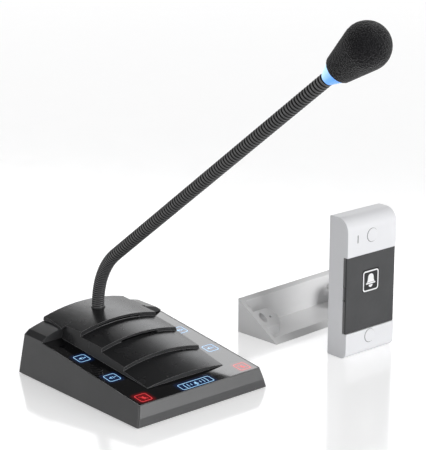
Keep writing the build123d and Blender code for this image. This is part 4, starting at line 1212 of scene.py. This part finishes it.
@dataclass
class Gooseneck:
    """The wound steel tube between the collar and the microphone head."""

    root: Vector = field(default_factory=lambda: Vector((0, 52.8, 45.80660616725505)) * MM)
    radius: float = 4.97 * MM
    bend_radius: float = 59.0 * MM
    lean: float = math.radians(52.96)
    straight: float = 280.5 * MM
    fine_pitch: float = 1.85 * MM
    coarse_pitch: float = 3.0 * MM
    fine_end: float = 40.0 * MM
    coarse_start: float = 60.0 * MM
    groove: float = 0.34
    ridge_half: float = 0.40
    around: int = 40
    samples: int = 16
    borders: tuple[float, ...] = (0.0, 38.0, 89.0, 143.0, 197.0, 251.0)
    joints: tuple[float, ...] = (14.0, 62.0, 116.0, 170.0, 224.0, 278.0)
    border_slack: float = 1e-8
    shank_length: float = 14.0 * MM
    shank_radius: float = 3.98 * MM
    shank_pitch: float = 1.0 * MM
    shank_samples: int = 8
    shank_around: int = 32
    thread_depth: float = 0.35 * MM

    @property
    def bend(self) -> float:
        """Length of the curved part."""
        return self.bend_radius * self.lean

    @property
    def length(self) -> float:
        """Whole length along the middle line."""
        return self.bend + self.straight

    def station(self, distance: float) -> tuple[Vector, Vector]:
        """Middle point and direction at a distance from the root.

        Args:
            distance: how far along.

        Returns:
            The point and the unit direction.
        """
        angle = self.lean * min(max(distance, 0) / self.bend, 1)
        direction = Vector((0, -math.sin(angle), math.cos(angle)))
        point = self.root + Vector((0, -(1 - math.cos(angle)), math.sin(angle))) * self.bend_radius
        return point + direction * (max(distance - self.bend, 0) + min(distance, 0)), direction

    def pitch(self, distance: float) -> float:
        """Winding pitch at a distance, fine at the foot and coarse above."""
        share = min(max((distance - self.fine_end) / (self.coarse_start - self.fine_end), 0), 1)
        return self.fine_pitch + (self.coarse_pitch - self.fine_pitch) * share * share * (3 - 2 * share)

    def stops(self) -> list[Pair]:
        """Distances of all rings with the turns wound up to each.

        Returns:
            (distance, turns) pairs from the root to the end.
        """
        marks = [border * MM for border in self.borders[1:]] + [self.length]
        rings = [(0.0, 0.0)]
        for mark in marks:
            while rings[-1][0] < mark - TINY:
                distance, turns = rings[-1]
                step = min(self.pitch(distance) / self.samples, mark - distance)
                rings.append((distance + step, turns + step / self.pitch(distance + step / 2)))
        return rings

    def sunk(self, turns: float) -> float:
        """How deep the surface lies under a ridge's top, as a share of the groove's depth."""
        away = abs(turns % 1.0 - 0.5) / self.ridge_half
        return 1 - math.sqrt(max(1 - away * away, 0.0))

    def tube(self, name: str, rings: Sequence[Pair], capped: tuple[bool, bool]) -> Piece:
        """Makes one run of the wound tube, whose mesh carries each point's height for its finish.

        Args:
            name: the piece's name.
            rings: its (distance, turns) pairs.
            capped: closes the start and the end.

        Returns:
            The object.
        """
        points: list[Vector] = []
        heights: list[float] = []
        faces: list[list[int]] = []
        for distance, turns in rings:
            middle, direction = self.station(distance)
            rise = direction.cross(ACROSS)
            depth = self.groove * self.pitch(distance)
            for step in range(self.around):
                share = step / self.around
                sunk = self.sunk(turns - share)
                heights.append(1 - sunk)
                angle = 2 * math.pi * share
                outward = ACROSS * math.cos(angle) + rise * math.sin(angle)
                points.append(middle + outward * (self.radius - depth * sunk))
        for low, high in neighbours(len(rings))[:-1]:
            for step, turn in neighbours(self.around):
                corners = ((low, step), (low, turn), (high, turn), (high, step))
                faces.append([row * self.around + place for row, place in corners])
        if capped[0]:
            faces.append(list(reversed(range(self.around))))
        if capped[1]:
            faces.append(list(range(len(points) - self.around, len(points))))
        piece = shaped(name, points, faces)
        piece.data.attributes.new(RIDGE, "FLOAT", "POINT").data.foreach_set("value", heights)
        return piece

    def shank(self, wardrobe: Wardrobe) -> Piece:
        """Makes the threaded foot under the collar.

        Args:
            wardrobe: where its finish comes from.

        Returns:
            The foot.
        """
        steps = int(self.shank_length / self.shank_pitch * self.shank_samples)
        profile: list[Pair] = [(0.0, -self.shank_length)]
        for step in range(steps + 1):
            distance = -self.shank_length + self.shank_length * step / steps
            thread = 0.5 - 0.5 * math.cos(2 * math.pi * distance / self.shank_pitch)
            profile.append((self.shank_radius - self.thread_depth * thread, distance))
        profile.append((0.0, 0.0))
        piece = shaped("neck_shank", *turned(self.root, UPWARD, profile, self.shank_around))
        wardrobe.wear(piece, "neck_black")
        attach(piece, "console")
        return piece

    def build(self, wardrobe: Wardrobe) -> list[Piece]:
        """Makes the tube in six runs, each round one joint's place, and its foot.

        Args:
            wardrobe: where its finish comes from.

        Returns:
            The runs and the foot.
        """
        count = len(self.borders)
        rings = self.stops()
        ends = [*self.borders[1:], self.length / MM]
        pieces: list[Piece] = []
        for index, (low, high, joint) in enumerate(zip(self.borders, ends, self.joints)):
            first, last = low * MM - self.border_slack, high * MM + self.border_slack
            run = [ring for ring in rings if first <= ring[0] <= last]
            piece = self.tube(f"gooseneck_{index + 1}", run, (index == 0, index == count - 1))
            wardrobe.wear(piece, "neck_black")
            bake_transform(piece)
            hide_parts(f"neck_link_{index}")
            pieces.append(piece)
        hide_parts(f"neck_link_{count}")
        return [*pieces, self.shank(wardrobe)]


@dataclass
class Windscreen:
    """The foam ball over the microphone, at the end of its neck."""

    neck: Gooseneck
    base: float = 12.3 * MM
    base_radius: float = 10.5 * MM
    ball_radius: float = 16.0 * MM
    middle: float = 41.5 * MM
    bore_radius: float = 7.7 * MM
    bore_end: float = 36.0 * MM
    rim: float = 0.7 * MM
    rim_waist: Pair = (0.3, 0.15)
    step: float = 0.42 * MM
    around: int = 230
    pore: float = 0.3 * MM
    pore_level: float = 0.5
    fine_share: float = 0.38
    fine_scale: float = 1500.0
    broad_share: float = 0.12
    broad_scale: float = 420.0

    def outline(self) -> list[Pair]:
        """The profile from the bore's end over the foot and the ball to the tip.

        Returns:
            (radius, distance) pairs.
        """
        gap = self.middle - self.base
        reach = math.hypot(self.base_radius, gap)
        tangent = math.atan2(-gap, self.base_radius) + math.acos(self.ball_radius / reach)
        corners: list[Pair] = [
            (0.0, self.bore_end),
            (self.bore_radius, self.bore_end),
            (self.bore_radius, self.base),
            (self.base_radius - self.rim, self.base),
            (self.base_radius - self.rim_waist[0] * self.rim, self.base + self.rim_waist[1] * self.rim),
            (self.base_radius, self.base + self.rim),
            self.on_ball(tangent),
        ]
        path: list[Pair] = []
        for (r0, d0), (r1, d1) in zip(corners, corners[1:]):
            count = max(1, round(math.hypot(r1 - r0, d1 - d0) / self.step))
            path += [(r0 + (r1 - r0) * i / count, d0 + (d1 - d0) * i / count) for i in range(count)]
        count = round(self.ball_radius * (math.pi / 2 - tangent) / self.step)
        path += [self.on_ball(tangent + (math.pi / 2 - tangent) * i / count) for i in range(count)]
        path.append((0.0, self.middle + self.ball_radius))
        return path

    def on_ball(self, angle: float) -> Pair:
        """The ball's radius and distance at an angle over its middle."""
        return self.ball_radius * math.cos(angle), self.middle + self.ball_radius * math.sin(angle)

    def sunk(self, place: Vector, radius: float) -> float:
        """How far the foam's pores sink at a place.

        Args:
            place: the place.
            radius: its distance from the axis.

        Returns:
            The depth, 0 in the bore.
        """
        if radius <= self.bore_radius:
            return 0.0
        fine = noise.noise(place * self.fine_scale)
        broad = noise.noise(place * self.broad_scale)
        return self.pore * (self.pore_level + self.fine_share * fine + self.broad_share * broad)

    def build(self, wardrobe: Wardrobe) -> list[Piece]:
        """Makes the foam and puts it on its body.

        Args:
            wardrobe: where its finish comes from.

        Returns:
            The foam.
        """
        origin, axis = self.neck.station(self.neck.length)
        piece = shaped("foam_windscreen", *turned(origin, axis, self.outline(), self.around, self.sunk))
        wardrobe.wear(piece, "foam_black")
        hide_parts("windscreen")
        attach(piece, "foam")
        return [piece]


@dataclass
class CallKeyPrint:
    """The white bell and frame on the customer panel's key."""

    across: float = 174.5 * MM
    height: float = 59.85 * MM
    gap: float = 0.02 * MM
    frame_size: Pair = (17.3 * MM, 17.0 * MM)
    corner: float = 2.0 * MM
    line: float = 1.15 * MM
    dome: tuple[Pair, ...] = (
        (0.0, 5.6),
        (1.2, 5.45),
        (2.2, 4.9),
        (2.85, 3.9),
        (3.15, 2.6),
        (3.35, 0.8),
        (3.75, -0.5),
        (4.4, -1.3),
    )
    brim: tuple[Pair, Pair] = ((-5.2 * MM, -2.15 * MM), (5.2 * MM, -2.15 * MM))
    brim_line: float = 1.1 * MM
    clapper: Pair = (0.0, -3.3 * MM)
    clapper_radius: float = 2.2 * MM

    def bell(self, mark: Print) -> None:
        """Adds the bell: dome, brim and clapper.

        Args:
            mark: the print it goes on.
        """
        right = [(u * MM, v * MM) for u, v in self.dome]
        mark.patch(list(reversed(right)) + [(-u, v) for u, v in right[1:]])
        mark.band(self.brim, self.brim_line)
        mark.half_disc(self.clapper, self.clapper_radius)

    def build(self, wardrobe: Wardrobe) -> list[Piece]:
        """Makes the print and puts it on the call key.

        Args:
            wardrobe: where its ink comes from.

        Returns:
            The print.
        """
        low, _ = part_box("call_key")
        mark = Print(Vector((self.across, low.y - self.gap, self.height)), ACROSS, UPWARD)
        mark.frame(*self.frame_size, self.corner, self.line)
        self.bell(mark)
        piece = mark.made("call_key_print")
        wardrobe.dress(piece, Ink.WHITE.value)
        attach(piece, "call_key")
        return [piece]


@dataclass
class PanelTrim:
    """The two white plugs over the fixing screws, a painted shade round each plug's seat and a dark patch of
    painted shade in the microphone slot.
    """

    across: float = 174.2 * MM
    front: float = -71.6 * MM
    heights: Pair = (14.4 * MM, 97.4 * MM)
    radius: float = 5.3 * MM
    around: int = 64
    proud: float = 0.35 * MM
    round_over: float = 0.3 * MM
    round_steps: int = 6
    depth: float = 2.0 * MM
    # Painted shade crescent round each plug: its width, its shift to the left and its lift.
    seat_shade_width: float = 0.34 * MM
    seat_shift: float = 0.22 * MM
    seat_lift: float = 0.03 * MM
    slot_place: Pair = (158.4 * MM, 96.55 * MM)
    slot_size: Pair = (0.8 * MM, 6.5 * MM)
    slot_depth: float = 0.15 * MM

    def plugs(self, wardrobe: Wardrobe) -> Piece:
        """Makes both plugs as one piece in place of the plain ones.

        Args:
            wardrobe: where the finish comes from.

        Returns:
            The plugs.
        """
        middle = (self.radius - self.round_over, -self.round_over)
        corner = arc_points(middle, self.round_over, 90, 0, self.round_steps, True)
        profile = [(0.0, self.proud)]
        profile += [(radius, self.proud + distance) for radius, distance in corner]
        profile += [(self.radius, -self.depth), (0.0, -self.depth)]
        points: list[Vector] = []
        faces: list[list[int]] = []
        for height in self.heights:
            origin = Vector((self.across, self.front, height))
            more_points, more_faces = turned(origin, Vector((0, -1, 0)), profile, self.around)
            faces += [[index + len(points) for index in face] for face in more_faces]
            points += more_points
        piece = shaped("screw_plug_caps", points, faces)
        wardrobe.wear(piece, "plug_white")
        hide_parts("screw_plugs")
        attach(piece, "panel")
        return piece

    def painted_seat_shade(self, name: str, height: float, wardrobe: Wardrobe) -> Piece:
        """Makes a painted shade crescent round one plug's seat, wider on the left.

        Args:
            name: the piece's name.
            height: the plug's height on the panel.
            wardrobe: where the finish comes from.

        Returns:
            The painted shade.
        """
        mark = Print(Vector((self.across, self.front, height)), ACROSS, UPWARD, self.seat_lift)
        inner = arc_points((0, 0), self.radius, 0, 360, self.around, False)
        outer = arc_points((-self.seat_shift, 0), self.radius + self.seat_shade_width, 0, 360, self.around, False)
        for here, there in neighbours(self.around):
            mark.patch((inner[here], outer[here], outer[there], inner[there]))
        piece = mark.made(name)
        wardrobe.wear(piece, "seal_grey")
        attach(piece, "panel")
        return piece

    def slot_shade(self, wardrobe: Wardrobe) -> Piece:
        """Makes a dark patch just inside the microphone slot, as painted shade.

        Args:
            wardrobe: where the finish comes from.

        Returns:
            The patch.
        """
        # Painted shade: a dark patch that darkens the slot's inside.
        across, height = self.slot_place
        mark = Print(Vector((across, self.front + self.slot_depth, height)), ACROSS, UPWARD)
        radius = self.slot_size[0] / 2
        rise = self.slot_size[1] / 2 - radius
        mark.capsule(radius, -rise, rise)
        piece = mark.made("microphone_slot_shade")
        wardrobe.wear(piece, "pad_rubber")
        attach(piece, "panel")
        return piece

    def build(self, wardrobe: Wardrobe) -> list[Piece]:
        """Makes the plugs, the painted shade round their seats and the painted shade inside the slot.

        Args:
            wardrobe: where the finishes come from.

        Returns:
            The four pieces.
        """
        pieces = [self.plugs(wardrobe)]
        for name, height in zip(("plug_painted_shade_lower", "plug_painted_shade_upper"), self.heights):
            pieces.append(self.painted_seat_shade(name, height, wardrobe))
        return [*pieces, self.slot_shade(wardrobe)]


# ---- Studio ----


@dataclass(frozen=True)
class Lamp:
    """One soft square lamp: where it hangs, what it points at, its side in metres and its watts."""

    name: str
    place: Triple
    aim: Triple
    size: float
    power: float

    def hang(self) -> None:
        """Hangs the lamp."""
        light = bpy.data.lights.new(self.name, "AREA")
        light.size = self.size
        light.energy = self.power
        aimed(bpy.data.objects.new(self.name, light), Vector(self.place), Vector(self.aim))


@dataclass(frozen=True)
class Card:
    """A bright card that only glossy surfaces see, spanned by two directions from a point."""

    name: str
    origin: Triple
    along: Triple
    across: Triple
    length: Pair
    width: Pair
    light: float
    tint: Colour = (0.97, 0.98, 1.0)
    drift: float = 0.8

    def corners(self) -> list[Vector]:
        """The card's four corners.

        Returns:
            The corners in order.
        """
        (start, end), (low, high) = self.length, self.width
        spots = ((start, low), (end, low), (end, high), (start, high))
        return [Vector(self.origin) + Vector(self.along) * a + Vector(self.across) * b for a, b in spots]

    def hang(self) -> None:
        """Hangs the card."""
        card = shaped(self.name, self.corners(), [[0, 1, 2, 3]], False)
        graph = Graph(self.name)
        graph.feed(
            Base_Color=BLACK,
            Specular_IOR_Level=0.0,
            Emission_Color=graph.mottled(self.drift, 1.0, self.tint, WHITE),
            Emission_Strength=self.light,
        )
        card.data.materials.append(graph.material)
        card.visible_camera = False
        card.visible_diffuse = False
        card.visible_shadow = False
        card.visible_transmission = False


def aimed(thing: Piece, place: Vector, aim: Vector) -> None:
    """Puts a lamp or a camera in its place and points it.

    Args:
        thing: the lamp or camera.
        place: where it goes.
        aim: what it points at.
    """
    thing.location = place
    thing.rotation_euler = (aim - place).to_track_quat("-Z", "Y").to_euler()
    bpy.context.scene.collection.objects.link(thing)


@dataclass
class Studio:
    """Pale glossy floor, soft lamps, two reflecting cards and the camera."""

    eye: Vector = field(default_factory=lambda: Vector((-0.7352, -0.9341, 0.4672)))
    target: Vector = field(default_factory=lambda: Vector((0.31745, 0.28384, 0.0)))
    lens: float = 133.7
    sensor: float = 36.0
    far_end: float = 60.0
    floor_half: float = 9.0
    floor_tints: tuple[Colour, Colour] = ((0.86, 0.86, 0.865), (0.88, 0.88, 0.885))
    floor_drift: float = 0.6
    floor_gloss: Pair = (0.10, 0.14)
    floor_patch: float = 30.0
    floor_specular: float = 0.25
    floor_lift: float = 0.36
    ambient: Pair = (0.80, 0.24)
    mirrored_degrees: Pair = (20.0, 31.0)
    mirrored: Pair = (1.0, 0.06)
    lamps: tuple[Lamp, ...] = (
        Lamp("front_lamp", (0.55, -1.9, 0.42), (0.1, 0.0, 0.05), 1.2, 27.0),
        Lamp("side_lamp", (-2.1, 0.1, 0.3), (0.15, 0.0, 0.05), 1.2, 13.0),
    )
    cards: tuple[Card, ...] = (
        Card(
            "side_card",
            origin=(1.2530, 1.1235, 1.058),
            along=(0.554931, -0.831896, 0.0),
            across=(0.831896, 0.554931, 0.0),
            length=(-1.6, 2.2),
            width=(0.0, 2.4),
            light=3.1,
        ),
        Card(
            "front_card",
            origin=(1.42, -1.62, 0.26),
            along=(0.771, 0.628, 0.0),
            across=(0.0, 0.0, 1.0),
            length=(-0.35, 1.0),
            width=(-0.16, 0.16),
            light=5.0,
        ),
    )

    def floor(self) -> None:
        """Lays the floor, white to the eye and in reflections, with the objects' shadows kept."""
        spots = ((-1, -1), (1, -1), (1, 1), (-1, 1))
        corners = [Vector((u * self.floor_half, v * self.floor_half, 0.0)) for u, v in spots]
        floor = shaped("studio_floor", corners, [[0, 1, 2, 3]], False)
        graph = Graph("studio_floor")
        camera_ray = graph.output("ShaderNodeLightPath", "Is Camera Ray")
        seen = graph.number("MAXIMUM", camera_ray, graph.output("ShaderNodeLightPath", "Is Glossy Ray"))
        graph.feed(
            Base_Color=graph.mottled(self.floor_drift, GRAIN_OCTAVES, *self.floor_tints),
            Roughness=graph.uneven(self.floor_patch, GLOSS_OCTAVES, self.floor_gloss),
            Specular_IOR_Level=self.floor_specular,
            Emission_Color=WHITE,
            Emission_Strength=graph.spread(seen, RISING, (0.0, self.floor_lift)),
        )
        floor.data.materials.append(graph.material)

    def sky(self) -> None:
        """Sets the room: white to the eye, softly lit from its sides, darker overhead in reflections."""
        world = bpy.data.worlds.new("studio")
        bpy.context.scene.world = world
        world.use_nodes = True
        room = NodeTree(world.node_tree, "Generated")
        height = room.axes(room.place)[2]
        low, high = (math.sin(math.radians(angle)) for angle in self.mirrored_degrees)
        mirrored = room.spread(height, (low, high), self.mirrored, True)
        glossy_ray = room.output("ShaderNodeLightPath", "Is Glossy Ray")
        lit = room.mix(Mix.NUMBER, glossy_ray, room.spread(height, RISING, self.ambient), mirrored)
        background = room.nodes.new("ShaderNodeBackground")
        room.plug(WHITE, background.inputs["Color"])
        camera_ray = room.output("ShaderNodeLightPath", "Is Camera Ray")
        room.plug(room.number("MAXIMUM", camera_ray, lit), background.inputs["Strength"])
        end = room.nodes.new("ShaderNodeOutputWorld")
        room.plug(background.outputs["Background"], end.inputs["Surface"])

    def camera(self) -> None:
        """Sets the camera."""
        data = bpy.data.cameras.new("view")
        data.sensor_width = self.sensor
        data.lens = self.lens
        data.clip_end = self.far_end
        camera = bpy.data.objects.new("view", data)
        aimed(camera, self.eye, self.target)
        bpy.context.scene.camera = camera

    def build(self) -> None:
        """Sets up the whole studio."""
        bpy.context.scene.view_settings.view_transform = "Standard"
        self.floor()
        self.sky()
        for hanging in (*self.lamps, *self.cards):
            hanging.hang()
        self.camera()


def main() -> None:
    """Loads the frame, dresses every node, adds the scene's own pieces and the studio."""
    logging.basicConfig(level=logging.INFO, format="%(name)s %(message)s")
    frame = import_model()
    wardrobe = Wardrobe(frame["record"])
    for name, node in frame["nodes"].items():
        wardrobe.dress_node(name, node)
        LOG.info("%s wears %s", name, wardrobe.slots[name])
    neck = Gooseneck()
    assemblies: tuple[SubAssembly, ...] = (TouchKeys(), neck, Windscreen(neck), CallKeyPrint(), PanelTrim())
    for assembly in assemblies:
        for piece in assembly.build(wardrobe):
            LOG.info("%s: %d faces", piece.name, len(piece.data.polygons))
    Studio().build()


if __name__ == "__main__":
    main()
